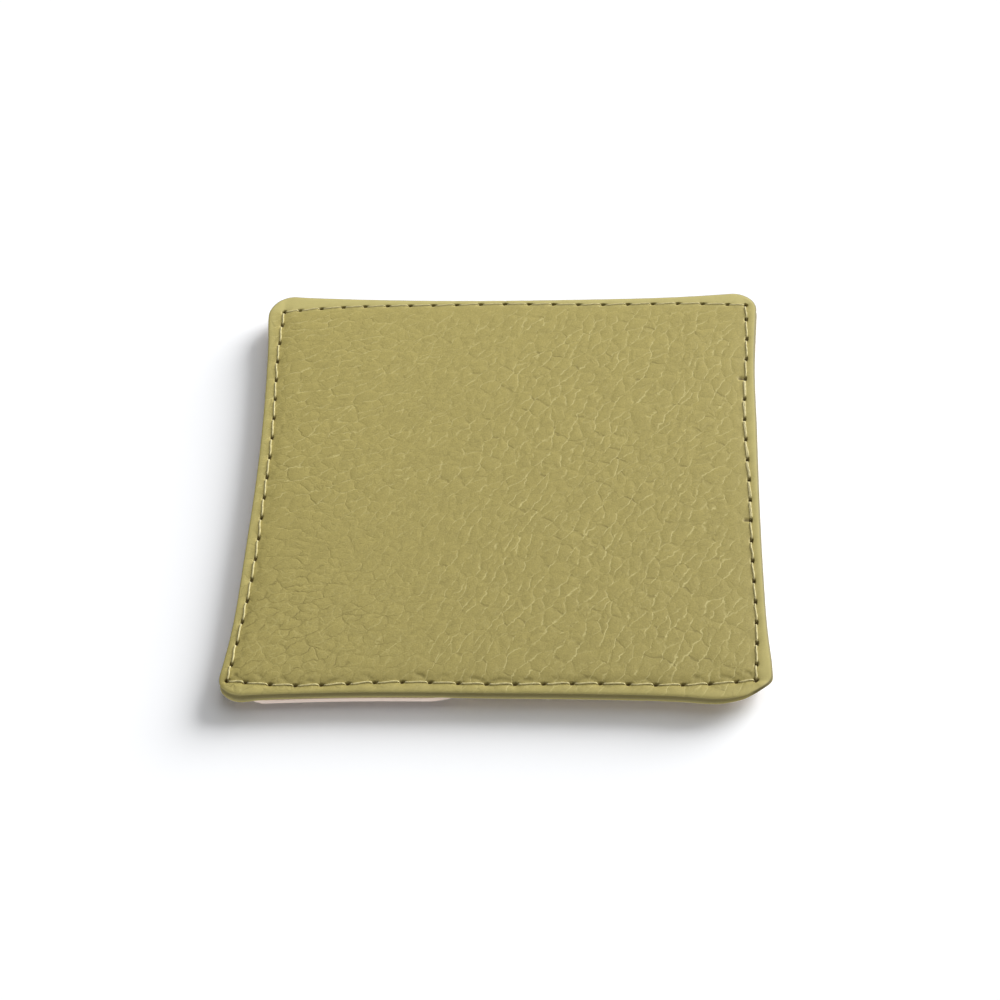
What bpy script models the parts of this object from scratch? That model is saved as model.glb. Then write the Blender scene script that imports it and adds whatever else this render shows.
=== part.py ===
"""Flat leather card holder, lying on its pocket side with the plain cover up.

A turned-edge leather cover, a stiffener, a lining and three stepped card pockets
are held by one lockstitch seam that runs all the way round near the edge.
"""
import math

import bpy
import bmesh
from mathutils import Vector

MM = 0.001

# Overall plan, over the corners
WIDTH = 97.8 * MM
DEPTH = 97.6 * MM
CORNER_RADIUS = 5.0 * MM
# How far the seam draws in the middle of each side from the line between its corners
RIGHT_DRAW = 0.9 * MM
NEAR_DRAW = 1.1 * MM
LEFT_DRAW = 2.0 * MM
FAR_DRAW = 1.4 * MM

# Layer thicknesses
COVER_THICKNESS = 1.2 * MM
TURN_IN_THICKNESS = 0.8 * MM
TURN_IN_WIDTH = 8.0 * MM
STIFFENER_THICKNESS = 0.45 * MM
LINING_THICKNESS = 0.35 * MM
POCKET_THICKNESS = 0.45 * MM

# Fits between layers
LAYER_GAP = 0.12 * MM
POCKET_EASE = 0.3 * MM
STIFFENER_CLEARANCE = 0.3 * MM
RAW_EDGE_SETBACK = 0.4 * MM
WING_CLEARANCE = 0.3 * MM

# Card pockets, measured along the depth
CARD_HEIGHT = 54.0 * MM
CARD_SHOWING = 10.0 * MM
POCKET_STEP = 12.5 * MM
RIM_WIDTH = 3.3 * MM
RIM_END_EXTRA = 1.6 * MM
RIM_RAMP = 1.1 * MM
TONGUE_INSET = 6.5 * MM
TONGUE_MARGIN = 2.5 * MM
TONGUE_RAMP = 2.0 * MM

# Seams
SEAM_INSET = 2.0 * MM
SEAM_CORNER_SIDE = 2.3 * MM
SEAM_CORNER_END = 3.9 * MM
STITCH_PITCH = 4.82 * MM
CORNER_STITCH = 0.72
THREAD_DIAMETER = 0.40 * MM
THREAD_CLEARANCE = 0.05 * MM
HOLE_LENGTH = 1.2 * MM
HOLE_WIDTH = 0.7 * MM
LOCK_OFF_STITCHES = 7
LOCK_OFF_Y = 25.0 * MM
TONGUE_STITCH_PITCH = 6.0 * MM
TONGUE_THREAD_DIAMETER = 0.22 * MM
TONGUE_THREAD_CLEARANCE = 0.035 * MM

# Facets
CORNER_STEPS = 6
SIDE_STEPS = 8
FOLD_STEPS = 6
WALK_STEPS = 24

# Levels of the stack, from the pocket side up
POCKET_LEVELS = 3
POCKET_PITCH = POCKET_THICKNESS + POCKET_EASE
RIM_BOTTOM = (POCKET_LEVELS - 1) * POCKET_PITCH
LINING_BOTTOM = RIM_BOTTOM + POCKET_THICKNESS + LAYER_GAP
LINING_TOP = LINING_BOTTOM + LINING_THICKNESS
TURN_IN_BOTTOM = LINING_TOP + LAYER_GAP
TURN_IN_TOP = TURN_IN_BOTTOM + TURN_IN_THICKNESS
COVER_BOTTOM = TURN_IN_TOP + LAYER_GAP
COVER_TOP = COVER_BOTTOM + COVER_THICKNESS

# Pocket lines along the depth: each card stands on the seam below it
NEAR_SEAM_Y = -DEPTH / 2 + NEAR_DRAW + SEAM_INSET
FRONT_MOUTH_Y = NEAR_SEAM_Y + CARD_HEIGHT - CARD_SHOWING
TONGUE_DEPTH = CARD_HEIGHT - CARD_SHOWING + TONGUE_MARGIN

OLIVE_LEATHER = (172, 162, 102)
BLUSH_LEATHER = (222, 200, 188)
BLUSH_LINING = (214, 192, 180)
KRAFT_BOARD = (176, 148, 112)
OLIVE_THREAD = (214, 205, 152)
BLUSH_THREAD = (226, 210, 198)


def linear(channel):
    """One 0-255 display channel as a linear value."""
    value = channel / 255
    if value <= 0.04045:
        return value / 12.92
    return ((value + 0.055) / 1.055) ** 2.4


def finish(name, colour, roughness):
    """A plain non-metal finish in a display colour."""
    material = bpy.data.materials.new(name)
    material.use_nodes = True
    shader = material.node_tree.nodes["Principled BSDF"]
    shader.inputs["Base Color"].default_value = (*(linear(c) for c in colour), 1)
    shader.inputs["Roughness"].default_value = roughness
    shader.inputs["Metallic"].default_value = 0
    return material


def outline(inset, end_extra=0):
    """The plan outline, moved in by a distance and a little more at the ends: drawn-in sides, round corners."""
    half_x = WIDTH / 2 - inset
    half_y = DEPTH / 2 - inset - end_extra
    radius = max(CORNER_RADIUS - inset, CORNER_RADIUS / 4)
    run_x = half_x - radius
    run_y = half_y - radius
    points = []
    # Anticlockwise from above, starting with the right side
    for quarter, draw in enumerate((RIGHT_DRAW, FAR_DRAW, LEFT_DRAW, NEAR_DRAW)):
        turn = quarter * math.pi / 2
        along_y = quarter % 2 == 0
        half, run = (half_x, run_y) if along_y else (half_y, run_x)
        cross = (run_x, run_y) if along_y else (run_y, run_x)
        for step in range(1, SIDE_STEPS):
            share = 2 * step / SIDE_STEPS - 1
            points.append(turned(half - draw * (1 - share ** 2), share * run, turn))
        for step in range(CORNER_STEPS + 1):
            angle = step / CORNER_STEPS * math.pi / 2
            points.append(turned(cross[0] + radius * math.cos(angle),
                                 cross[1] + radius * math.sin(angle), turn))
    return points


def turned(x, y, angle):
    """A plan point turned about the middle."""
    return Vector((x * math.cos(angle) - y * math.sin(angle), x * math.sin(angle) + y * math.cos(angle), 0))


def new_object(name, mesh, material=None):
    """Adds a mesh to the scene under a piece's name."""
    piece = bpy.data.objects.new(name, mesh)
    bpy.context.collection.objects.link(piece)
    if material:
        piece.data.materials.append(material)
    return piece


def mesh_from(name, bm):
    """Turns a bmesh into a mesh with its faces pointing out."""
    bmesh.ops.recalc_face_normals(bm, faces=bm.faces)
    mesh = bpy.data.meshes.new(name)
    bm.to_mesh(mesh)
    bm.free()
    return mesh


def loft(profile):
    """A closed body lofted through outline rings of (inset, height, more inset at the ends), capped."""
    bm = bmesh.new()
    rings = []
    for inset, height, *end_extra in profile:
        ring = [bm.verts.new(point + Vector((0, 0, height))) for point in outline(inset, *end_extra)]
        rings.append(ring)
    for lower, upper in zip(rings, rings[1:]):
        for i in range(len(lower)):
            j = (i + 1) % len(lower)
            bm.faces.new((lower[i], lower[j], upper[j], upper[i]))
    bm.faces.new(rings[0])
    bm.faces.new(rings[-1])
    return bm


def add_boolean(piece, operation, tool):
    """Cuts or trims a piece with a tool body."""
    modifier = piece.modifiers.new(tool.name, "BOOLEAN")
    modifier.operation = operation
    modifier.solver = "EXACT"
    modifier.object = tool


def as_tool(piece):
    """Marks a body that only shapes others."""
    piece.hide_render = True
    piece.display_type = "WIRE"
    return piece


def prism(name, plan, low, high):
    """A tool body: one or more plan polygons drawn up between two heights."""
    bm = bmesh.new()
    for polygon in plan:
        floor = [bm.verts.new((x, y, low)) for x, y in polygon]
        roof = [bm.verts.new((x, y, high)) for x, y in polygon]
        bm.faces.new(floor)
        bm.faces.new(roof)
        for i in range(len(floor)):
            j = (i + 1) % len(floor)
            bm.faces.new((floor[i], floor[j], roof[j], roof[i]))
    return as_tool(new_object(name, mesh_from(name, bm)))


def walk(points, distances):
    """Points and directions at distances along a polyline."""
    lengths = [(b - a).length for a, b in zip(points, points[1:])]
    spots = []
    for distance in distances:
        index = 0
        left = distance
        while index < len(lengths) - 1 and left > lengths[index]:
            left -= lengths[index]
            index += 1
        direction = (points[index + 1] - points[index]).normalized()
        spots.append((points[index] + direction * left, direction))
    return spots


def seam_sides():
    """The seam line as four runs between corner holes, clockwise from above, starting with the right side."""
    corner_x = WIDTH / 2 - SEAM_CORNER_SIDE
    corner_y = DEPTH / 2 - SEAM_CORNER_END
    edges = (WIDTH / 2 - RIGHT_DRAW, DEPTH / 2 - NEAR_DRAW, WIDTH / 2 - LEFT_DRAW, DEPTH / 2 - FAR_DRAW)
    sides = []
    for quarter, edge in enumerate(edges):
        half, run = (corner_x, corner_y) if quarter % 2 == 0 else (corner_y, corner_x)
        bow = edge - SEAM_INSET - half
        side = []
        for step in range(WALK_STEPS + 1):
            share = 1 - 2 * step / WALK_STEPS
            side.append(turned(half + bow * (1 - share ** 2), share * run, -quarter * math.pi / 2))
        sides.append(side)
    return sides


def seam_holes():
    """Needle holes round the seam as (place, direction, width), with shorter stitches at the corners."""
    holes = []
    for side in seam_sides():
        length = sum((b - a).length for a, b in zip(side, side[1:]))
        count = round(length / STITCH_PITCH + 2 * (1 - CORNER_STITCH))
        pitch = length / (count - 2 + 2 * CORNER_STITCH)
        distances = [0] + [(CORNER_STITCH + step) * pitch for step in range(count - 1)]
        # A corner hole is pulled open along both of its sides
        widths = [HOLE_LENGTH] + [HOLE_WIDTH] * (count - 1)
        holes.extend((*spot, width) for spot, width in zip(walk(side, distances), widths))
    return holes


def first_lock_off(holes):
    """The hole on the right side where the seam starts and its end runs over."""
    on_right = [i for i, (place, way, _) in enumerate(holes) if place.x > 0 and way.y < -0.9]
    return min(on_right, key=lambda i: abs(holes[i][0].y - LOCK_OFF_Y))


def hole_plan(place, way, length, width):
    """The four corners of one needle slit."""
    across = Vector((way.y, -way.x, 0))
    corners = ((-1, -1), (1, -1), (1, 1), (-1, 1))
    spots = [place + way * (a * length / 2) + across * (b * width / 2) for a, b in corners]
    return [(spot.x, spot.y) for spot in spots]


def rim_underside(place):
    """Height of the lowest layer at a place on the seam: a pocket's rim, or the bare lining."""
    top_mouth = FRONT_MOUTH_Y + (POCKET_LEVELS - 1) * POCKET_STEP
    return RIM_BOTTOM if place.y < top_mouth + HOLE_LENGTH else LINING_BOTTOM


def stitch_path(run, side, surface, lock, radius, clearance, reach):
    """Points of one thread of a lockstitch: it lies over each gap and dips into each hole.

    run: (place, direction, sideways shift of the stitch that follows) for each hole in order
    side: 1 on the upper face, -1 on the lower one
    surface: height of the face that each stitch lies on
    lock: height of the turn inside the hole
    reach: distance from a hole's middle at which the thread is back on the face
    """
    points = [run[0][0] + Vector((0, 0, lock))]
    for i in range(len(run) - 1):
        place, way, shift = run[i]
        target, target_way, next_shift = run[i + 1]
        across = Vector((way.y, -way.x, 0)) * shift
        target_across = Vector((target_way.y, -target_way.x, 0))
        chord = (target - place).normalized()
        height = Vector((0, 0, surface[i] + side * (radius + clearance)))
        points.append(place + across + chord * reach + height)
        points.append(target + target_across * shift - chord * reach + height)
        points.append(target + target_across * (shift + next_shift) / 2 + Vector((0, 0, lock)))
    return points


def thread(name, points, diameter, material):
    """A thread as one unbroken tube along its points."""
    curve = bpy.data.curves.new(name, "CURVE")
    curve.dimensions = "3D"
    curve.bevel_depth = diameter / 2
    curve.bevel_resolution = 0
    curve.use_fill_caps = True
    spline = curve.splines.new("POLY")
    spline.points.add(len(points) - 1)
    for knot, point in zip(spline.points, points):
        knot.co = (*point, 1)
    return new_object(name, curve, material)


def make_cover(material):
    """Cover leather: a sheet whose edge is folded under and skived to a thin turn-in."""
    radius = (COVER_TOP - TURN_IN_BOTTOM) / 2
    slot = COVER_THICKNESS
    profile = [(radius, COVER_TOP)]
    for step in range(1, FOLD_STEPS):
        angle = math.pi / 2 - math.pi * step / FOLD_STEPS
        profile.append((radius * (1 - math.cos(angle)), COVER_TOP - radius * (1 - math.sin(angle))))
    profile.append((radius, TURN_IN_BOTTOM))
    profile.append((TURN_IN_WIDTH, TURN_IN_BOTTOM))
    profile.append((TURN_IN_WIDTH, TURN_IN_TOP))
    profile.append((slot, TURN_IN_TOP))
    profile.append((slot, COVER_BOTTOM))
    return new_object("front_cover", mesh_from("front_cover", loft(profile)), material)


def flat_sheet(name, inset, low, thickness, material):
    """A flat sheet cut to the plan outline."""
    return new_object(name, mesh_from(name, loft([(inset, low), (inset, low + thickness)])), material)


def make_pocket(name, level, material):
    """A card pocket: rim held up in the seam, middle one level lower for each pocket behind it.

    level: 0 for the pocket next to the lining, counted up towards the outermost one
    """
    drop = level * POCKET_PITCH
    mouth = FRONT_MOUTH_Y + (POCKET_LEVELS - 1 - level) * POCKET_STEP
    ramp_end = RIM_WIDTH + RIM_RAMP
    low = [(RAW_EDGE_SETBACK, RIM_BOTTOM, 0), (RIM_WIDTH, RIM_BOTTOM, RIM_END_EXTRA),
           (ramp_end, RIM_BOTTOM - drop, RIM_END_EXTRA)]
    high = [(inset, height + POCKET_THICKNESS, end_extra) for inset, height, end_extra in low]
    bm = loft(low[::-1] + high)
    outermost = level == POCKET_LEVELS - 1
    if not outermost:
        raise_tongue(bm, mouth, drop)
    piece = new_object(name, mesh_from(name, bm), material)
    blank = pocket_plan(mouth, outermost)
    add_boolean(piece, "INTERSECT", prism(name + "_blank", [blank], -COVER_TOP, 2 * COVER_TOP))
    return piece


def raise_tongue(bm, mouth, drop):
    """Lifts the end of a pocket's tongue past the pocket behind it, up to the lining."""
    start = mouth + POCKET_STEP - TONGUE_DEPTH - POCKET_EASE
    if drop == 0:
        return
    for line in (start, start - TONGUE_RAMP):
        everything = bm.verts[:] + bm.edges[:] + bm.faces[:]
        bmesh.ops.bisect_plane(bm, geom=everything, plane_co=(0, line, 0), plane_no=(0, 1, 0))
    for vert in bm.verts:
        if vert.co.y < start - TONGUE_RAMP / 2:
            vert.co.z += drop


def pocket_plan(mouth, outermost):
    """Plan of a pocket blank: a T with wings in the side seams, or the full width for the outermost one."""
    wide = WIDTH
    deep = -DEPTH
    if outermost:
        return [(-wide, deep), (wide, deep), (wide, mouth), (-wide, mouth)]
    tongue = tongue_half()
    wing = mouth - POCKET_STEP + WING_CLEARANCE
    end = mouth - TONGUE_DEPTH
    return [(-tongue, end), (tongue, end), (tongue, wing), (wide, wing),
            (wide, mouth), (-wide, mouth), (-wide, wing), (-tongue, wing)]


def tongue_half():
    """Half width of a pocket's tongue, which stays clear of both side seams."""
    return WIDTH / 2 - max(LEFT_DRAW, RIGHT_DRAW) - TONGUE_INSET


def tongue_holes(level):
    """Needle holes of the row that closes the bottom of a pocket."""
    mouth = FRONT_MOUTH_Y + (POCKET_LEVELS - 1 - level) * POCKET_STEP
    line = mouth - (CARD_HEIGHT - CARD_SHOWING)
    half = tongue_half() - SEAM_INSET
    count = round(2 * half / TONGUE_STITCH_PITCH)
    way = Vector((1, 0, 0))
    return [(Vector((-half + 2 * half * i / count, line, 0)), way) for i in range(count + 1)]


def sew_rim(pieces, thread_material):
    """Cuts the needle holes of the rim seam and lays its two threads, run over at the start."""
    holes = seam_holes()
    start = first_lock_off(holes)
    order = holes[start:] + holes[:start]
    shift = (THREAD_DIAMETER + THREAD_CLEARANCE) / 2
    plans = []
    for i, (place, way, width) in enumerate(order):
        extra = 2 * shift if i <= LOCK_OFF_STITCHES else 0
        plans.append(hole_plan(place, way, HOLE_LENGTH, width + extra))
    slits = prism("rim_needle_holes", plans, -COVER_TOP, 2 * COVER_TOP)
    for piece in pieces:
        add_boolean(piece, "DIFFERENCE", slits)
    run = []
    for i in range(len(order) + LOCK_OFF_STITCHES + 1):
        place, way, _ = order[i % len(order)]
        sideways = shift if i < LOCK_OFF_STITCHES else 0
        if i >= len(order):
            sideways = -shift
        run.append((place, way, sideways))
    radius = THREAD_DIAMETER / 2
    reach = HOLE_LENGTH / 2 - THREAD_CLEARANCE - radius
    lock = (RIM_BOTTOM + COVER_TOP) / 2
    apart = radius + THREAD_CLEARANCE
    upper = [COVER_TOP] * len(run)
    lower = [min(rim_underside(a[0]), rim_underside(b[0])) for a, b in zip(run, run[1:])]
    for name, side, surface in (("needle_thread", 1, upper), ("bobbin_thread", -1, lower)):
        points = stitch_path(run, side, surface, lock + side * apart, radius, THREAD_CLEARANCE, reach)
        thread(name, points, THREAD_DIAMETER, thread_material)


def sew_tongue(level, pocket, lining, thread_material):
    """Sews the bottom of an inner pocket to the lining with a fine lockstitch."""
    holes = tongue_holes(level)
    length = 4 * TONGUE_THREAD_DIAMETER
    width = 2 * TONGUE_THREAD_DIAMETER
    plans = [hole_plan(place, way, length, width) for place, way in holes]
    slits = prism(pocket.name + "_needle_holes", plans, -COVER_TOP, 2 * COVER_TOP)
    add_boolean(pocket, "DIFFERENCE", slits)
    add_boolean(lining, "DIFFERENCE", slits)
    run = [(place, way, 0) for place, way in holes]
    radius = TONGUE_THREAD_DIAMETER / 2
    reach = length / 2 - TONGUE_THREAD_CLEARANCE - radius
    lock = (RIM_BOTTOM + LINING_TOP) / 2
    apart = radius + TONGUE_THREAD_CLEARANCE
    for suffix, side, height in (("needle_thread", 1, LINING_TOP), ("bobbin_thread", -1, RIM_BOTTOM)):
        surface = [height] * len(run)
        points = stitch_path(run, side, surface, lock + side * apart, radius, TONGUE_THREAD_CLEARANCE, reach)
        thread(pocket.name + "_" + suffix, points, TONGUE_THREAD_DIAMETER, thread_material)


def main():
    for item in list(bpy.data.objects):
        bpy.data.objects.remove(item, do_unlink=True)
    olive_thread = finish("olive_thread", OLIVE_THREAD, 0.55)
    blush_thread = finish("blush_thread", BLUSH_THREAD, 0.6)
    blush_leather = finish("blush_leather", BLUSH_LEATHER, 0.55)
    cover = make_cover(finish("olive_leather", OLIVE_LEATHER, 0.5))
    stiffener_inset = TURN_IN_WIDTH + STIFFENER_CLEARANCE
    flat_sheet("stiffener_board", stiffener_inset, TURN_IN_TOP - STIFFENER_THICKNESS, STIFFENER_THICKNESS,
               finish("kraft_board", KRAFT_BOARD, 0.85))
    lining = flat_sheet("back_lining", RAW_EDGE_SETBACK, LINING_BOTTOM, LINING_THICKNESS,
                        finish("blush_lining", BLUSH_LINING, 0.7))
    names = ("top_pocket", "middle_pocket", "front_pocket")
    pockets = [make_pocket(name, level, blush_leather) for level, name in enumerate(names)]
    sew_rim([cover, lining, *pockets], olive_thread)
    for level, pocket in enumerate(pockets[:-1]):
        sew_tongue(level, pocket, lining, blush_thread)


main()
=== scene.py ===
"""Looks of a flat leather card holder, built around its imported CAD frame.

Lengths are in millimetres, in the CAD's own frame, until a mesh is made.
"""
import logging
import math
from collections.abc import Callable
from dataclasses import dataclass
from enum import Enum

import bpy
import numpy as np
from mathutils import Matrix, Vector


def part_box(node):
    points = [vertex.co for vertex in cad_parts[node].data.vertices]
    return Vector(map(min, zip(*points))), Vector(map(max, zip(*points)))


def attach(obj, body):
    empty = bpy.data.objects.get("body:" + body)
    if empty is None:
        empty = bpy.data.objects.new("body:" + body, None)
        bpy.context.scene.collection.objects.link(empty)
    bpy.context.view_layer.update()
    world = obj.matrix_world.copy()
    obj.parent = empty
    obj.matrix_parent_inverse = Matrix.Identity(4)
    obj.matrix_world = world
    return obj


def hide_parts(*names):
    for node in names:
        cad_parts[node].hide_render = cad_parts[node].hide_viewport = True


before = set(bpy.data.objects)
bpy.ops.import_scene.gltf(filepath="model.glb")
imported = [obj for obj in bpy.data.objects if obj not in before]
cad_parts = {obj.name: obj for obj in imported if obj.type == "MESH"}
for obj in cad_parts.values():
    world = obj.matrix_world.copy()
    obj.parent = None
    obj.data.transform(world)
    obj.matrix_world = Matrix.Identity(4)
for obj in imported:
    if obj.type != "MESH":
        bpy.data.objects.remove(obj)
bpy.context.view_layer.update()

MM = 0.001
BODY = "root"
SEED = 7
OTHER_NODES = ("Geometry", "NodeGroup")

log = logging.getLogger("card_holder")


class Side(Enum):
    """The four sides of the plan, anticlockwise from above, as quarter turns from the right."""

    RIGHT = 0
    FAR = 1
    LEFT = 2
    NEAR = 3


class Face(Enum):
    """The two faces that a seam's threads lie on, as directions along Z."""

    COVER = 1
    POCKETS = -1


def linear_colour(code: str) -> tuple[float, float, float, float]:
    """Turns an sRGB hex colour into a linear one.

    Args:
        code: six hex digits, red first

    Returns:
        Red, green, blue and alpha as linear values.
    """
    channels = [int(code[i:i + 2], 16) / 255 for i in (0, 2, 4)]
    red, green, blue = (c / 12.92 if c <= 0.04045 else ((c + 0.055) / 1.055) ** 2.4 for c in channels)
    return red, green, blue, 1.0


def add_node(tree: bpy.types.NodeTree, kind: str, inputs: dict | None = None, **settings) -> bpy.types.Node:
    """Adds a node with its settings, and sets or links its inputs.

    Args:
        tree: node tree of a material, a world or a geometry modifier
        kind: Blender's type name of the node, without ShaderNode in front
        inputs: a value or an output socket for each input, by name or number
        settings: values of the node's own properties

    Returns:
        The new node.
    """
    node = tree.nodes.new(kind if kind.startswith(OTHER_NODES) else "ShaderNode" + kind)
    for name, value in settings.items():
        setattr(node, name, value)
    for key, value in (inputs or {}).items():
        if isinstance(value, bpy.types.NodeSocket):
            tree.links.new(value, node.inputs[key])
        else:
            node.inputs[key].default_value = value
    return node


def smooth_step(values: np.ndarray) -> np.ndarray:
    """Eases values from 0 to 1, flat outside that range."""
    clipped = np.clip(values, 0, 1)
    return clipped * clipped * (3 - 2 * clipped)


def swings(shares: np.ndarray, sizes: tuple[float, ...]) -> np.ndarray:
    """Sum of a single, a double and further swings along a side, none at its ends."""
    return sum(size * np.sin((i + 1) * math.pi * shares) for i, size in enumerate(sizes))


def turned(points: np.ndarray, side: Side) -> np.ndarray:
    """Turns plan points from the right side to another one."""
    angle = side.value * math.pi / 2
    turn = np.array([[math.cos(angle), math.sin(angle)], [-math.sin(angle), math.cos(angle)]])
    return points @ turn


def facing(points: np.ndarray, side: Side) -> np.ndarray:
    """Turns plan points so that one side comes to lie on the right."""
    return points @ turned(np.eye(2), side).T


def run_lengths(line: np.ndarray) -> np.ndarray:
    """Distance along a polyline to each of its points."""
    return np.concatenate([[0], np.cumsum(np.linalg.norm(np.diff(line, axis=0), axis=1))])


def along_line(line: np.ndarray, distances: np.ndarray) -> np.ndarray:
    """Points at distances along a polyline."""
    lengths = run_lengths(line)
    return np.stack([np.interp(distances, lengths, line[:, axis]) for axis in range(line.shape[1])], axis=1)


def coons_patch(south: np.ndarray, north: np.ndarray, west: np.ndarray, east: np.ndarray) -> np.ndarray:
    """Fills four boundary curves with a grid of plan points.

    Args:
        south: points of the near curve, from left to right
        north: points of the far curve, from left to right
        west: points of the left curve, from near to far
        east: points of the right curve, from near to far

    Returns:
        Points as an array of rows, columns and coordinates.
    """
    shares = [run_lengths(curve) / run_lengths(curve)[-1] for curve in (south, north, west, east)]
    u = ((shares[0] + shares[1]) / 2)[None, :, None]
    v = ((shares[2] + shares[3]) / 2)[:, None, None]
    ruled_rows = (1 - v) * south[None] + v * north[None]
    ruled_columns = (1 - u) * west[:, None] + u * east[:, None]
    corners = ((1 - u) * (1 - v) * south[0] + u * (1 - v) * south[-1]
               + (1 - u) * v * north[0] + u * v * north[-1])
    return ruled_rows + ruled_columns - corners


def grid_quads(numbers: np.ndarray) -> np.ndarray:
    """Quads of a grid of vertex numbers, facing up where rows run far and columns run right."""
    corners = (numbers[:-1, :-1], numbers[:-1, 1:], numbers[1:, 1:], numbers[1:, :-1])
    return np.stack(corners, axis=-1)


def ring_quads(lower: np.ndarray, upper: np.ndarray) -> list:
    """Quads between two closed rings of vertex numbers."""
    return np.stack([lower, np.roll(lower, -1), np.roll(upper, -1), upper], axis=1).tolist()


def new_piece(name: str, vertices: np.ndarray, faces: list) -> bpy.types.Object:
    """Makes a smoothly shaded object from vertices in millimetres.

    Args:
        name: the piece's name
        vertices: rows of x, y and z
        faces: vertex numbers of each face

    Returns:
        The object, linked into the scene.
    """
    mesh = bpy.data.meshes.new(name)
    mesh.from_pydata((vertices * MM).tolist(), [], faces)
    mesh.validate()
    mesh.shade_smooth()
    piece = bpy.data.objects.new(name, mesh)
    bpy.context.scene.collection.objects.link(piece)
    return piece


def add_attribute(piece: bpy.types.Object, name: str, values: np.ndarray) -> None:
    """Stores one number for each vertex of a piece."""
    layer = piece.data.attributes.new(name, "FLOAT", "POINT")
    layer.data.foreach_set("value", values.astype(np.float32))


def apply_modifiers(piece: bpy.types.Object) -> None:
    """Makes a piece's modifiers part of its mesh."""
    graph = bpy.context.evaluated_depsgraph_get()
    mesh = bpy.data.meshes.new_from_object(piece.evaluated_get(graph), depsgraph=graph)
    piece.modifiers.clear()
    old = piece.data
    piece.data = mesh
    bpy.data.meshes.remove(old)


@dataclass(frozen=True)
class Tuck:
    """A place where a turned edge was pulled tighter or left fuller than its even curve.

    The place is a distance anticlockwise from the middle of the side.
    """

    side: Side
    place: float
    fullness: float
    reach: float


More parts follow.
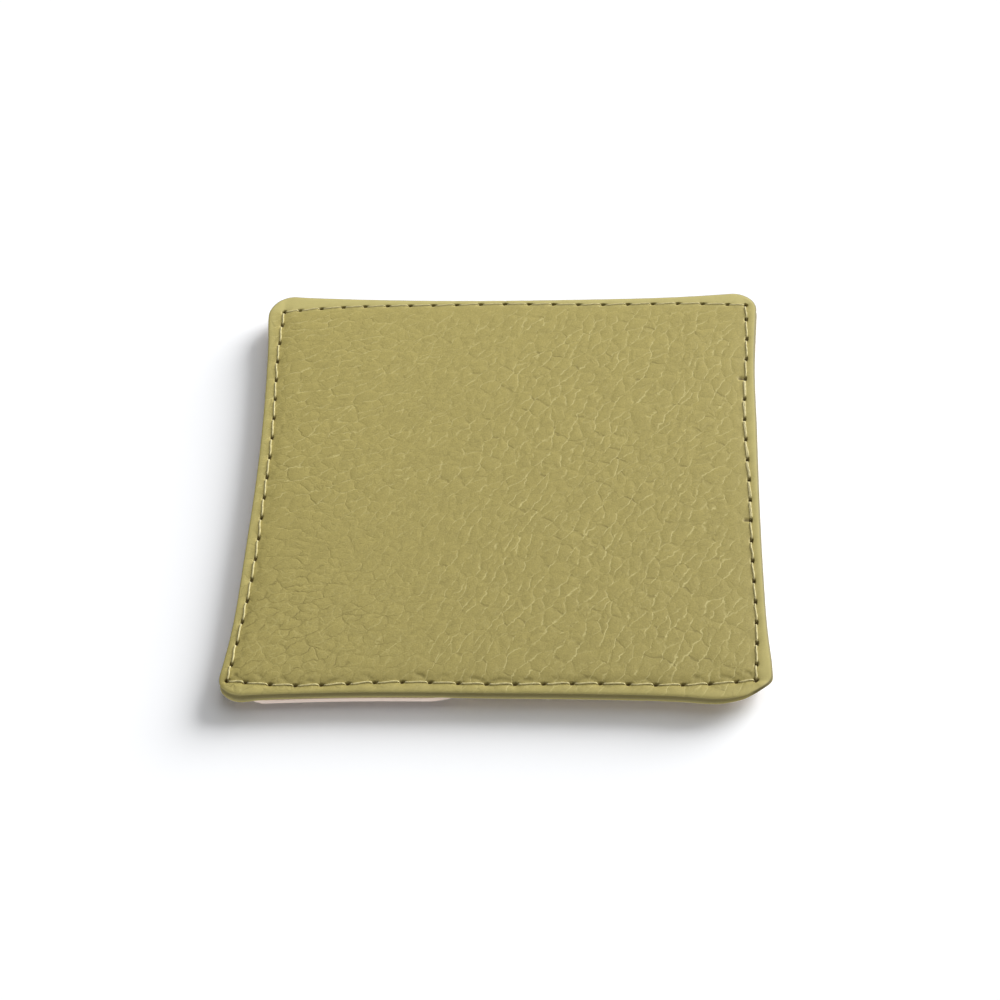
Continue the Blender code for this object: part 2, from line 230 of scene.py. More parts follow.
@dataclass
class HolderPlan:
    """Plan of the holder: an outline with drawn-in sides and hand-turned corners, and the seam inside it."""

    width: float
    depth: float
    corner_radius: float = 5.0
    right_draw: float = 0.9
    far_draw: float = 1.4
    left_draw: float = 2.0
    near_draw: float = 1.1
    seam_inset: float = 2.0
    seam_corner_side: float = 2.3
    seam_corner_end: float = 3.9
    stitch_pitch: float = 4.82
    corner_stitch: float = 0.72
    # Share of a side's length in each half of a rounded corner
    arc_share: float = 0.045
    # How far each corner is pulled in by its folded pleats, or stands out as an ear, and over what reach
    near_right_pull: tuple[float, float] = (-0.3, 1.5)
    near_right_reach: float = 4.8
    far_left_pull: tuple[float, float] = (0.3, 0.4)
    far_left_reach: float = 3.2
    # How much further the near edge is drawn in, and where that eases off towards the right
    near_trim: float = 0.65
    near_left_trim: float = 0.45
    trim_end: float = 6.0
    trim_ease: float = 36.0
    trim_reach: float = 5.0
    tucks: tuple[Tuck, ...] = (
        Tuck(Side.LEFT, 33.0, -0.75, 15.0), Tuck(Side.LEFT, -28.0, 0.20, 22.0),
        Tuck(Side.LEFT, -43.0, 0.25, 5.0),
        Tuck(Side.RIGHT, 29.0, -0.36, 11.0), Tuck(Side.RIGHT, -43.0, 0.42, 7.0),
        Tuck(Side.FAR, 5.0, -0.34, 38.0), Tuck(Side.FAR, -34.0, -0.55, 20.0), Tuck(Side.NEAR, 39.5, 0.4, 5.0))
    # How far the last needle hole of each side stands off the even corner, in the order of the sides
    corner_shifts: tuple[tuple[float, float], ...] = ((0.0, 0.0), (0.66, -0.44), (-0.23, 0.36), (-0.5, 0.65))
    # How a hand-guided seam swings out from its even bow, and how its stitches drift along it: the sizes of
    # a single, a double and further swings, in the order of the sides
    seam_swings: tuple[tuple[float, ...], ...] = (
        (0.05, 0.35, 0.15, -0.05, 0.2), (0.55, -0.25, 0.2, 0.0, 0.15),
        (-0.1, 0.45, 0.1, 0.15, 0.1), (-0.45, -0.1, 0.35, 0.1, 0.3))
    stitch_drifts: tuple[tuple[float, ...], ...] = ((-2.4, 0.1), (1.7, -0.35), (0.75, -0.15), (-0.4, -0.7))
    # Where on the right side the seam's end starts to run over its beginning, and for how many stitches
    run_over_y: float = 25.0
    run_over: int = 7
    # How far the left half of the near edge is pressed up, how far in, and where that begins and ends
    near_lift: float = 0.15
    lift_line: float = -43.5
    lift_reach: float = 2.5
    lift_start: float = -44.5
    lift_full: float = -40.5
    lift_fade: float = -11.0
    lift_end: float = -3.0

    def draw(self, side: Side) -> float:
        """How far the middle of a side is drawn in."""
        return {Side.RIGHT: self.right_draw, Side.FAR: self.far_draw,
                Side.LEFT: self.left_draw, Side.NEAR: self.near_draw}[side]

    def halves(self, side: Side) -> tuple[float, float]:
        """Half sizes across and along a side."""
        sizes = (self.width / 2, self.depth / 2)
        return sizes if side in (Side.RIGHT, Side.LEFT) else sizes[::-1]

    def reach(self, side: Side, along: np.ndarray) -> np.ndarray:
        """Distance from the middle of the plan out to the edge, at places along a side."""
        across, half = self.halves(side)
        return across - self.draw(side) * (1 - (along / (half - self.corner_radius)) ** 2)

    def inside_edge(self, points: np.ndarray, side: Side) -> np.ndarray:
        """Distance of plan points inside one side's edge."""
        local = facing(points, side)
        return self.reach(side, local[:, 1]) - local[:, 0]

    def lifted(self, points: np.ndarray) -> np.ndarray:
        """How much of the near edge's lift takes hold at plan points, from 0 to 1."""
        left = smooth_step((points[:, 0] - self.lift_start) / (self.lift_full - self.lift_start))
        right = smooth_step((self.lift_end - points[:, 0]) / (self.lift_end - self.lift_fade))
        return left * right * smooth_step((self.lift_line - points[:, 1]) / self.lift_reach)

    def edge(self, side: Side, shares: np.ndarray, inset: float = 0.0, rolled: float = 1.0) -> np.ndarray:
        """Points of one side of the outline, anticlockwise from one corner's middle to the next.

        Args:
            side: which side
            shares: places along it, from 0 to 1
            inset: how far inside the outline
            rolled: how much of the near right corner's pull takes hold, from 0 to 1

        Returns:
            Plan points.
        """
        across, along = (half - inset for half in self.halves(side))
        radius = max(self.corner_radius - inset, self.corner_radius / 4)
        arc = self.arc_share
        straight = np.clip((shares - arc) / (1 - 2 * arc), 0, 1) * 2 - 1
        bend = np.clip((shares - 1 + arc) / arc, 0, 1) - np.clip(1 - shares / arc, 0, 1)
        angle = bend * math.pi / 4
        x = across - self.draw(side) * (1 - straight ** 2) - radius * (1 - np.cos(angle))
        y = straight * (along - radius) + radius * np.sin(angle)
        return self.shaped(turned(np.stack([x, y], axis=1), side), rolled)

    def shaped(self, points: np.ndarray, rolled: float) -> np.ndarray:
        """Moves outline points to where the hand-turned corners and the near edge lie.

        Args:
            points: plan points
            rolled: how much of the near right corner's pull takes hold, from 0 to 1

        Returns:
            Moved plan points.
        """
        moved = points.copy()
        tip = self.corner_radius * (1 - math.sqrt(0.5))
        for signs, pull, reach, share in (((1, -1), self.near_right_pull, self.near_right_reach, rolled),
                                          ((-1, 1), self.far_left_pull, self.far_left_reach, 1.0)):
            corner = np.array(signs) * (self.width / 2 - tip, self.depth / 2 - tip)
            near = np.exp(-np.sum((points - corner) ** 2, axis=1) / reach ** 2)
            moved += near[:, None] * share * np.array(pull)
        for tuck in self.tucks:
            local = facing(points, tuck.side)
            inside = self.halves(tuck.side)[0] - local[:, 0]
            weight = np.exp(-((local[:, 1] - tuck.place) / tuck.reach) ** 2)
            weight *= smooth_step(1 - inside / self.trim_reach)
            moved += weight[:, None] * turned(np.array([[tuck.fullness, 0.0]]), tuck.side)
        leftward = smooth_step((self.trim_end - points[:, 0]) / self.trim_ease)
        trim = self.near_trim + self.near_left_trim * leftward
        moved[:, 1] += trim * smooth_step(1 - (points[:, 1] + self.depth / 2) / self.trim_reach)
        return moved

    def corner_hole(self, side: Side) -> np.ndarray:
        """The last needle hole of a side, anticlockwise."""
        even = np.array([self.width / 2 - self.seam_corner_side, self.depth / 2 - self.seam_corner_end])
        signs = np.sign(turned(np.array([[1.0, 1.0]]), side)[0])
        return even * signs + self.corner_shifts[side.value]

    def seam_ends(self, side: Side) -> np.ndarray:
        """A side's first and last needle hole, turned so that the side lies on the right."""
        before = Side((side.value - 1) % len(Side))
        return facing(np.array([self.corner_hole(before), self.corner_hole(side)]), side)

    def seam_reach(self, side: Side, along: np.ndarray) -> np.ndarray:
        """Distance from the middle of the plan out to a side's seam, at places along the side."""
        first, last = self.seam_ends(side)
        share = np.clip((along - first[1]) / (last[1] - first[1]), 0, 1)
        straight = first[0] + share * (last[0] - first[0])
        bow = self.halves(side)[0] - self.draw(side) - self.seam_inset - (first[0] + last[0]) / 2
        return straight + 4 * bow * share * (1 - share) + swings(share, self.seam_swings[side.value])

    def seam_line(self, side: Side, steps: int = 96) -> np.ndarray:
        """The seam along one side, anticlockwise between its corner holes."""
        first, last = self.seam_ends(side)
        along = np.linspace(first[1], last[1], steps + 1)
        return turned(np.stack([self.seam_reach(side, along), along], axis=1), side)

    def stitch_distances(self, side: Side) -> np.ndarray:
        """Distances of a side's needle holes along its seam, both corner holes among them."""
        length = run_lengths(self.seam_line(side))[-1]
        count = round(length / self.stitch_pitch + 2 * (1 - self.corner_stitch))
        pitch = length / (count - 2 + 2 * self.corner_stitch)
        inner = (self.corner_stitch + np.arange(count - 1)) * pitch
        even = np.concatenate([[0], inner, [length]])
        return even + swings(even / length, self.stitch_drifts[side.value])

    def holes(self, side: Side) -> np.ndarray:
        """Needle holes of one side, both corner holes among them."""
        return along_line(self.seam_line(side), self.stitch_distances(side))

    def run_over_ends(self) -> np.ndarray:
        """The needle holes at which the seam's run-over starts and ends, on the right side."""
        holes = self.holes(Side.RIGHT)
        first = int(np.argmin(np.abs(holes[:, 1] - self.run_over_y)))
        return holes[[first, first - self.run_over]]

    def seam_places(self, points: np.ndarray, side: Side) -> tuple[np.ndarray, np.ndarray]:
        """Where plan points lie beside one side's seam.

        Args:
            points: plan points
            side: which side

        Returns:
            Distances inside the seam, and distances along it from its first corner hole.
        """
        local = facing(points, side)
        return self.seam_reach(side, local[:, 1]) - local[:, 0], local[:, 1] - self.seam_ends(side)[0, 1]

    def inside_seam(self, points: np.ndarray) -> np.ndarray:
        """Distance of plan points inside the seam line, negative outside it."""
        return np.min([self.seam_places(points, side)[0] for side in Side], axis=0)


@dataclass
class CoverRelief:
    """How the leather's upper face rises and falls: seam valley, needle pits, puckers and crown."""

    plan: HolderPlan
    top: float
    # How deep the seam draws the leather down along each side and at its needle holes, in the order of sides
    seam_valleys: tuple[float, ...] = (0.03, 0.02, 0.07, 0.16)
    hole_tugs: tuple[float, ...] = (0.06, 0.04, 0.11, 0.14)
    valley_inside: float = 1.4
    valley_outside: float = 0.65
    pit_depth: float = 0.60
    pit_half_length: float = 0.50
    pit_half_width: float = 0.32
    # The needle was drawn aside at both ends of the run-over, and tore the leather a little
    tear_half_length: float = 1.0
    tear_half_width: float = 0.34
    tear_offset: float = 0.55
    tear_share: float = 0.9
    # How much of a hole is at its full depth
    pit_floor: float = 0.35
    tug_reach: float = 1.2
    crown: float = 0.32
    crown_reach: float = 7.0
    pucker_depth: float = 0.18
    pucker_width: float = 0.42
    pucker_rise: tuple[float, float] = (0.6, 1.7)
    # Ranges of where a pucker's crest, start and end lie along its stitch, how softly it starts and ends, and
    # how seldom one is faint
    pucker_spans: tuple[tuple[float, float], ...] = ((0.35, 0.65), (0.0, 0.45), (0.55, 1.0))
    pucker_fade: float = 0.12
    pucker_bias: float = 0.7
    near_puckers: float = 1.0
    left_puckers: float = 0.45

    def pits(self, points: np.ndarray) -> np.ndarray:
        """How far plan points lie into a needle hole, from 0 to 1."""
        depth = np.zeros(len(points))
        for side in Side:
            holes = self.plan.holes(side)
            ways = np.gradient(holes, axis=0)
            ways /= np.linalg.norm(ways, axis=1)[:, None]
            for hole, way in zip(holes, ways):
                offset = points - hole
                near = np.abs(offset).max(axis=1) < 2 * self.pit_half_length
                along = offset[near] @ way / self.pit_half_length
                across = offset[near] @ np.array([way[1], -way[0]]) / self.pit_half_width
                pit = smooth_step(1 + self.pit_floor - along ** 2 - across ** 2)
                depth[near] = np.maximum(depth[near], pit)
        for hole in self.plan.run_over_ends():
            offset = (points - hole + (self.tear_offset, 0)) / (self.tear_half_length, self.tear_half_width)
            depth = np.maximum(depth, self.tear_share * smooth_step(1 - np.sum(offset ** 2, axis=1)))
        return depth

    def tugs(self, points: np.ndarray) -> np.ndarray:
        """How far a needle hole draws the leather down at plan points."""
        pull = np.zeros(len(points))
        for side in Side:
            for hole in self.plan.holes(side):
                near = np.exp(-np.sum((points - hole) ** 2, axis=1) / self.tug_reach ** 2)
                pull = np.maximum(pull, self.hole_tugs[side.value] * near)
        return pull

    def puckers(self, points: np.ndarray) -> np.ndarray:
        """Depth share of the small arched creases that bridge the stitches of the near and left sides."""
        random = np.random.default_rng(SEED)
        depth = np.zeros(len(points))
        for side, strength in ((Side.NEAR, self.near_puckers), (Side.LEFT, self.left_puckers)):
            inside, along = self.plan.seam_places(points, side)
            knots = self.plan.stitch_distances(side)
            stitch = np.clip(np.searchsorted(knots, along) - 1, 0, len(knots) - 2)
            share = np.clip((along - knots[stitch]) / np.diff(knots)[stitch], 0, 1)
            rise = random.uniform(*self.pucker_rise, len(knots))[stitch]
            lean, first, last = (random.uniform(*span, len(knots))[stitch] for span in self.pucker_spans)
            force = (random.uniform(0, 1, len(knots)) ** self.pucker_bias)[stitch] * strength
            bend = np.where(share < lean, share / lean, (1 - share) / (1 - lean))
            arch = rise * np.sin(bend * math.pi / 2)
            window = (smooth_step((share - first) / self.pucker_fade)
                      * smooth_step((last - share) / self.pucker_fade))
            crease = np.exp(-((inside - arch) / self.pucker_width) ** 2)
            depth = np.maximum(depth, crease * window * force)
        return depth

    def valleys(self, points: np.ndarray) -> np.ndarray:
        """How far the seam draws the leather down at plan points."""
        depths = []
        for side in Side:
            inside = self.plan.seam_places(points, side)[0]
            reach = np.where(inside > 0, self.valley_inside, self.valley_outside)
            depths.append(self.seam_valleys[side.value] * np.exp(-(inside / reach) ** 2))
        return np.max(depths, axis=0)

    def heights(self, points: np.ndarray) -> np.ndarray:
        """Heights of the leather's upper face at plan points, without the needle pits."""
        inside = np.clip(self.plan.inside_seam(points), 0, None)
        height = self.top + self.crown * (1 - np.exp(-inside / self.crown_reach))
        height -= self.valleys(points) + self.tugs(points)
        return height - self.pucker_depth * self.puckers(points)


@dataclass(frozen=True)
class PebbleGrain:
    """Pebbles of a milled hide: uneven cells drawn out one way, parted by fine broken creases.

    The creases are painted light and shade: those along the lean get a painted highlight by the first
    two tones, at the near and at the far end, or painted shade where a tone is below 0. Those across it
    get painted shade by the third. Where the rise is below 0, the creases are grooves.
    """

    lean_degrees: float
    near_tone: float
    far_tone: float
    tone_across: float
    crease_rise: float
    cell: float = 2.15
    stretch: float = 1.65
    # Size and reach of the slow bend, the wander and the ragged edge of the creases
    bends: tuple[tuple[float, float], ...] = ((22.0, 3.0), (2.2, 0.75), (0.6, 0.27))
    crease: float = 0.19
    shoulder: float = 0.7
    # Size of the patches in which the creases fade, and the levels between which the coarse and fine ones do
    fade_size: float = 2.0
    fade: tuple[float, float] = (0.36, 0.60)
    small_fade: tuple[float, float] = (0.62, 0.42)
    # The finer cells that break up each pebble, and how strong their creases are
    small_cell: float = 1.1
    small_share: float = 0.6
    # How much of the coarse creases' tone the fine ones have, the other way
    small_tone: float = 0.5

    def cells(self, tree: bpy.types.NodeTree, place: bpy.types.NodeSocket,
              far: bpy.types.NodeSocket) -> dict[str, bpy.types.NodeSocket]:
        """Adds the pattern's nodes to a material's or a modifier's tree.

        Args:
            tree: the node tree
            place: place on the surface, in millimetres
            far: how far the place is from the near end to the far end, from 0 to 1

        Returns:
            Sockets of the dome of each pebble, the rise of the creases between them and the creases' tone,
            which is painted light and shade.
        """
        bent = place
        for size, shift in self.bends:
            noise = add_node(tree, "TexNoise", {"Vector": place, "Scale": 1 / size, "Detail": 1.0})
            offset = add_node(tree, "VectorMath",
                              {0: noise.outputs["Color"], 1: (2 * shift,) * 3, 2: (-shift,) * 3},
                              operation="MULTIPLY_ADD")
            bent = add_node(tree, "VectorMath", {0: bent, 1: offset.outputs[0]}, operation="ADD").outputs[0]
        leaned = add_node(tree, "VectorRotate",
                          {"Vector": bent, "Angle": -math.radians(self.lean_degrees)}, rotation_type="Z_AXIS")
        squeezed = add_node(tree, "VectorMath",
                            {0: leaned.outputs[0], 1: (1 / self.stretch, 1, 0)},
                            operation="MULTIPLY").outputs[0]
        voronoi = {"Vector": squeezed, "Scale": 1 / self.cell}
        walls, first, second = (
            add_node(tree, "TexVoronoi", voronoi, voronoi_dimensions="2D", feature=feature)
            for feature in ("DISTANCE_TO_EDGE", "F1", "F2"))
        across = add_node(tree, "VectorMath",
                          {0: second.outputs["Position"], 1: first.outputs["Position"]}, operation="SUBTRACT")
        across = add_node(tree, "VectorMath",
                          {0: across.outputs[0], 1: (1, self.stretch, 0)}, operation="MULTIPLY")
        across = add_node(tree, "VectorMath", {0: across.outputs[0]}, operation="NORMALIZE")
        parts = add_node(tree, "SeparateXYZ", {0: across.outputs[0]})
        drawn = add_node(tree, "Math", {0: parts.outputs[1], 1: 2.0}, operation="POWER")
        distance = walls.outputs["Distance"]
        dome = add_node(tree, "MapRange",
                        {"Value": distance, "From Max": self.shoulder / self.cell},
                        interpolation_type="SMOOTHERSTEP")
        small = add_node(tree, "TexVoronoi", {"Vector": squeezed, "Scale": 1 / self.small_cell},
                         voronoi_dimensions="2D", feature="DISTANCE_TO_EDGE")
        noise = add_node(tree, "TexNoise", {"Vector": place, "Scale": 1 / self.fade_size, "Detail": 2.0})
        lines = []
        # The fine creases show where the coarse ones fade
        for value, cell, ends, share in (
                (distance, self.cell, self.fade, 1.0),
                (small.outputs["Distance"], self.small_cell, self.small_fade, self.small_share)):
            fade = add_node(tree, "MapRange", {"Value": noise.outputs[0], "From Min": ends[0],
                                                         "From Max": ends[1], "To Max": share})
            line = add_node(tree, "MapRange",
                            {"Value": value, "From Max": self.crease / cell, "To Min": 1.0, "To Max": 0.0},
                            interpolation_type="SMOOTHSTEP")
            lines.append(add_node(tree, "Math", {0: line.outputs[0], 1: fade.outputs[0]},
                                  operation="MULTIPLY").outputs[0])
        crease = add_node(tree, "Math", {0: lines[0], 1: lines[1]}, operation="MAXIMUM")
        # The creases' tone: a painted highlight where it is above 0, painted shade where it is below
        along = add_node(tree, "MapRange",
                         {"Value": far, "To Min": self.near_tone, "To Max": self.far_tone})
        leaning = add_node(tree, "MapRange",
                           {"Value": drawn.outputs[0], "To Min": -self.tone_across,
                            "To Max": along.outputs[0]})
        toned = add_node(tree, "Math", {0: lines[1], 1: -self.small_tone, 2: lines[0]},
                         operation="MULTIPLY_ADD")
        tone = add_node(tree, "Math", {0: toned.outputs[0], 1: leaning.outputs[0]}, operation="MULTIPLY")
        rise = add_node(tree, "Math", {0: crease.outputs[0], 1: self.crease_rise}, operation="MULTIPLY")
        return {"dome": dome.outputs[0], "rise": rise.outputs[0], "tone": tone.outputs[0]}


@dataclass(frozen=True)
class Finish:
    """A surface finish: its name, its main colour and its gloss."""

    name: str
    colour: str
    roughness: float
    ior: float = 1.5
    specular: float = 0.3

    def material(self) -> bpy.types.Material:
        """The finish's material, built the first time it is asked for."""
        found = bpy.data.materials.get(self.name)
        if found:
            return found
        made = bpy.data.materials.new(self.name)
        made.use_nodes = True
        shader = made.node_tree.nodes["Principled BSDF"]
        shader.inputs["Roughness"].default_value = self.roughness
        shader.inputs["IOR"].default_value = self.ior
        shader.inputs["Specular IOR Level"].default_value = self.specular
        self.paint(made.node_tree, shader)
        return made

    def paint(self, tree: bpy.types.NodeTree, shader: bpy.types.Node) -> None:
        """Adds the finish's own colour and relief."""
        raise NotImplementedError

    def place(self, tree: bpy.types.NodeTree) -> bpy.types.NodeSocket:
        """Place on the piece in millimetres."""
        coordinates = add_node(tree, "TexCoord").outputs["Object"]
        return add_node(tree, "VectorMath", {0: coordinates, "Scale": 1 / MM}, operation="SCALE").outputs[0]

    def toned(self, tree: bpy.types.NodeTree, pattern: bpy.types.NodeSocket, spread: float,
              low: float = 0.0) -> bpy.types.NodeSocket:
        """The main colour, made darker and lighter by a pattern.

        Args:
            tree: the material's nodes
            pattern: values from low to 1
            spread: how far the tone moves from the main colour, both ways
            low: the pattern's lowest value

        Returns:
            Colour socket.
        """
        tone = add_node(tree, "MapRange",
                        {"Value": pattern, "From Min": low, "To Min": 1 - spread,
                         "To Max": 1 + spread}).outputs[0]
        return add_node(tree, "VectorMath", {0: linear_colour(self.colour)[:3], "Scale": tone},
                        operation="SCALE").outputs[0]


@dataclass(frozen=True)
class PebbledLeather(Finish):
    """Milled, pigmented cowhide: small flat pebbles, semi-matt, that lean differently across the hide.

    The creases along the lean get a painted highlight and those across it painted shade, and the grain is
    flatter where the edge is stretched over its fold, with a paler colour along the rim. The needle holes are
    painted dark brown as painted shade.
    """

    # The pale colours of the creases and of the lip are painted highlights; the dark colours of the creases,
    # the fold and the needle holes are painted shade
    crease_highlight_colour: str = "D6CB8C"
    crease_shade_colour: str = "6A6030"
    rim_colour: str = "C0B574"
    fold_shade_colour: str = "302A10"
    lip_highlight_colour: str = "CFC48A"
    hole_shade_colour: str = "4A3714"
    right_grain: PebbleGrain = PebbleGrain(60.0, 0.65, 0.65, 0.5, -0.022, stretch=1.9)
    left_grain: PebbleGrain = PebbleGrain(26.0, -0.55, 0.55, 0.3, -0.036)
    # Where the two grains meet, and over what width they merge
    grain_border: float = -16.0
    grain_merge: float = 40.0
    # Where the near tones end and the far ones are reached
    tone_border: tuple[float, float] = (-26.0, -2.0)
    dome_relief: float = 0.02
    dome_height: float = 0.022
    pore_size: float = 0.30
    pore_depth: float = 0.012
    # Size and strength of the slow clouds, the mottle and the fine flecks in the pigment
    clouds: tuple[tuple[float, float], ...] = ((2.8, 0.10), (0.8, 0.08), (0.24, 0.27))
    # Painted shade: the colour is a shade darker towards the near edge, where the light falls off
    near_edge_painted_shade: float = 0.145

    def pebbles(self, tree: bpy.types.NodeTree,
                position: bpy.types.NodeSocket) -> dict[str, bpy.types.NodeSocket]:
        """Adds both grains, merged across the hide.

        Args:
            tree: nodes of a material or a modifier
            position: place on the surface, in metres

        Returns:
            Sockets of the place in millimetres, the pebbles' domes, the creases' rise and the creases' tone.
        """
        place = add_node(tree, "VectorMath", {0: position, "Scale": 1 / MM}, operation="SCALE").outputs[0]
        axes = add_node(tree, "SeparateXYZ", {0: place})
        far = add_node(tree, "MapRange",
                       {"Value": axes.outputs[1], "From Min": self.tone_border[0],
                        "From Max": self.tone_border[1]}).outputs[0]
        left, right = (grain.cells(tree, place, far) for grain in (self.left_grain, self.right_grain))
        share = add_node(tree, "MapRange",
                         {"Value": axes.outputs[0], "From Min": self.grain_border - self.grain_merge / 2,
                          "From Max": self.grain_border + self.grain_merge / 2}).outputs[0]
        merged = {name: add_node(tree, "Mix", {"Factor": share, "A": left[name], "B": right[name]}).outputs[0]
                  for name in left}
        return {"place": place, **merged}

    def paint(self, tree: bpy.types.NodeTree, shader: bpy.types.Node) -> None:
        """Adds the pigment with its painted shade towards the near edge, the creases with their painted
        highlights and shade, the paler rim, the painted shade of the fold, of the sides facing the light, of
        the puckers and of the needle holes, the painted highlight of the lip, and the pores.
        """
        pebbles = self.pebbles(tree, add_node(tree, "TexCoord").outputs["Object"])
        grain, rim, pucker, fold, lip, pit, along = (
            add_node(tree, "Attribute", attribute_name=name).outputs["Fac"]
            for name in ("grain", "rim", "pucker", "fold", "lip", "pit", "near_to_far"))
        # Painted shade, darker towards the near edge
        level = add_node(tree, "MapRange", {"Value": along, "To Min": 1 - self.near_edge_painted_shade}).outputs[0]
        for size, spread in self.clouds:
            noise = add_node(tree, "TexNoise",
                             {"Vector": pebbles["place"], "Scale": 1 / size, "Detail": 2.0}).outputs[0]
            cloud = add_node(tree, "MapRange",
                             {"Value": noise, "To Min": 1 - spread, "To Max": 1 + spread}).outputs[0]
            level = add_node(tree, "Math", {0: level, 1: cloud}, operation="MULTIPLY").outputs[0]
        base = add_node(tree, "VectorMath", {0: linear_colour(self.colour)[:3], "Scale": level},
                        operation="SCALE").outputs[0]
        # Painted light and shade on the creases, from their tone
        tone = add_node(tree, "Math", {0: pebbles["tone"], 1: grain}, operation="MULTIPLY").outputs[0]
        painted_crease_shade = add_node(tree, "Math", {0: tone, 1: -1.0}, operation="MULTIPLY").outputs[0]
        # Colour layers: the paler rim, painted highlights and shade on the creases, painted shade in the
        # puckers, the fold and the needle holes, and a painted highlight on the lip
        layers = ((rim, self.rim_colour), (tone, self.crease_highlight_colour), (painted_crease_shade, self.crease_shade_colour),
                  (pucker, self.crease_shade_colour), (fold, self.fold_shade_colour), (lip, self.lip_highlight_colour),
                  (pit, self.hole_shade_colour))
        for place, code in layers:
            mixed = add_node(tree, "Mix", {"Factor": place, "A": base, "B": linear_colour(code)},
                             data_type="RGBA", clamp_factor=True)
            base = mixed.outputs["Result"]
        tree.links.new(base, shader.inputs["Base Color"])
        height = add_node(tree, "Math", {0: pebbles["dome"], 1: self.dome_relief, 2: pebbles["rise"]},
                          operation="MULTIPLY_ADD").outputs[0]
        height = add_node(tree, "Math", {0: height, 1: grain}, operation="MULTIPLY").outputs[0]
        pores = add_node(tree, "TexNoise",
                         {"Vector": pebbles["place"], "Scale": 1 / self.pore_size, "Detail": 2.0}).outputs[0]
        height = add_node(tree, "Math", {0: pores, 1: self.pore_depth, 2: height},
                          operation="MULTIPLY_ADD").outputs[0]
        bump = add_node(tree, "Bump", {"Height": height, "Strength": 1.0, "Distance": MM})
        tree.links.new(bump.outputs[0], shader.inputs["Normal"])

    def emboss(self, piece: bpy.types.Object) -> None:
        """Raises the pebbles in a piece's own mesh, where its grain attribute says so."""
        tree = bpy.data.node_groups.new("pebble_relief", "GeometryNodeTree")
        for way in ("INPUT", "OUTPUT"):
            tree.interface.new_socket("Geometry", in_out=way, socket_type="NodeSocketGeometry")
        source = add_node(tree, "NodeGroupInput").outputs[0]
        position = add_node(tree, "GeometryNodeInputPosition").outputs[0]
        normal = add_node(tree, "GeometryNodeInputNormal").outputs[0]
        grain = add_node(tree, "GeometryNodeInputNamedAttribute", {"Name": "grain"},
                         data_type="FLOAT").outputs[0]
        dome = self.pebbles(tree, position)["dome"]
        sunk = add_node(tree, "Math", {0: dome, 1: 1.0}, operation="SUBTRACT").outputs[0]
        depth = add_node(tree, "Math", {0: sunk, 1: grain}, operation="MULTIPLY").outputs[0]
        scaled = add_node(tree, "Math", {0: depth, 1: self.dome_height * MM}, operation="MULTIPLY").outputs[0]
        offset = add_node(tree, "VectorMath", {0: normal, "Scale": scaled}, operation="SCALE").outputs[0]
        moved = add_node(tree, "GeometryNodeSetPosition", {"Geometry": source, "Offset": offset}).outputs[0]
        add_node(tree, "NodeGroupOutput", {0: moved})
        modifier = piece.modifiers.new("pebble_relief", "NODES")
        modifier.node_group = tree
        apply_modifiers(piece)


@dataclass(frozen=True)
class SmoothLeather(Finish):
    """Thin split calf, pigmented and plated smooth: an even matt colour with fine pores."""

    pore_size: float = 0.45
    pore_depth: float = 0.012
    mottle_size: float = 9.0
    mottle: float = 0.07

    def paint(self, tree: bpy.types.NodeTree, shader: bpy.types.Node) -> None:
        """Adds a slow mottle and the pores."""
        place = self.place(tree)
        cloud = add_node(tree, "TexNoise", {"Vector": place, "Scale": 1 / self.mottle_size, "Detail": 4.0})
        tree.links.new(self.toned(tree, cloud.outputs[0], self.mottle), shader.inputs["Base Color"])
        pores = add_node(tree, "TexVoronoi", {"Vector": place, "Scale": 1 / self.pore_size})
        bump = add_node(tree, "Bump", {"Height": pores.outputs["Distance"], "Strength": 1.0,
                                                 "Distance": self.pore_depth * MM})
        tree.links.new(bump.outputs[0], shader.inputs["Normal"])


@dataclass(frozen=True)
class WovenLining(Finish):
    """Plain-woven polyester lining: fine crossing threads that break up the light, and a plain cut edge."""

    # The real cloth has a thread each 0.25 mm; it is drawn coarser so that the weave shows
    thread_spacing: float = 0.5
    thread_depth: float = 0.03
    contrast: float = 0.10

    def paint(self, tree: bpy.types.NodeTree, shader: bpy.types.Node) -> None:
        """Adds the weave's colour and relief."""
        phase = add_node(tree, "VectorMath", {0: self.place(tree), "Scale": math.pi / self.thread_spacing},
                         operation="SCALE").outputs[0]
        waves = add_node(tree, "VectorMath", {0: phase}, operation="SINE").outputs[0]
        axes = add_node(tree, "SeparateXYZ", {0: waves})
        weave = add_node(tree, "Math", {0: axes.outputs[0], 1: axes.outputs[1]},
                         operation="MULTIPLY").outputs[0]
        normal = add_node(tree, "NewGeometry").outputs["Normal"]
        facing_up = add_node(tree, "SeparateXYZ", {0: normal}).outputs[2]
        face = add_node(tree, "Math", {0: facing_up, 1: facing_up}, operation="MULTIPLY").outputs[0]
        weave = add_node(tree, "Math", {0: weave, 1: face}, operation="MULTIPLY").outputs[0]
        tree.links.new(self.toned(tree, weave, self.contrast, low=-1.0), shader.inputs["Base Color"])
        bump = add_node(tree, "Bump", {"Height": weave, "Strength": 1.0, "Distance": self.thread_depth * MM})
        tree.links.new(bump.outputs[0], shader.inputs["Normal"])


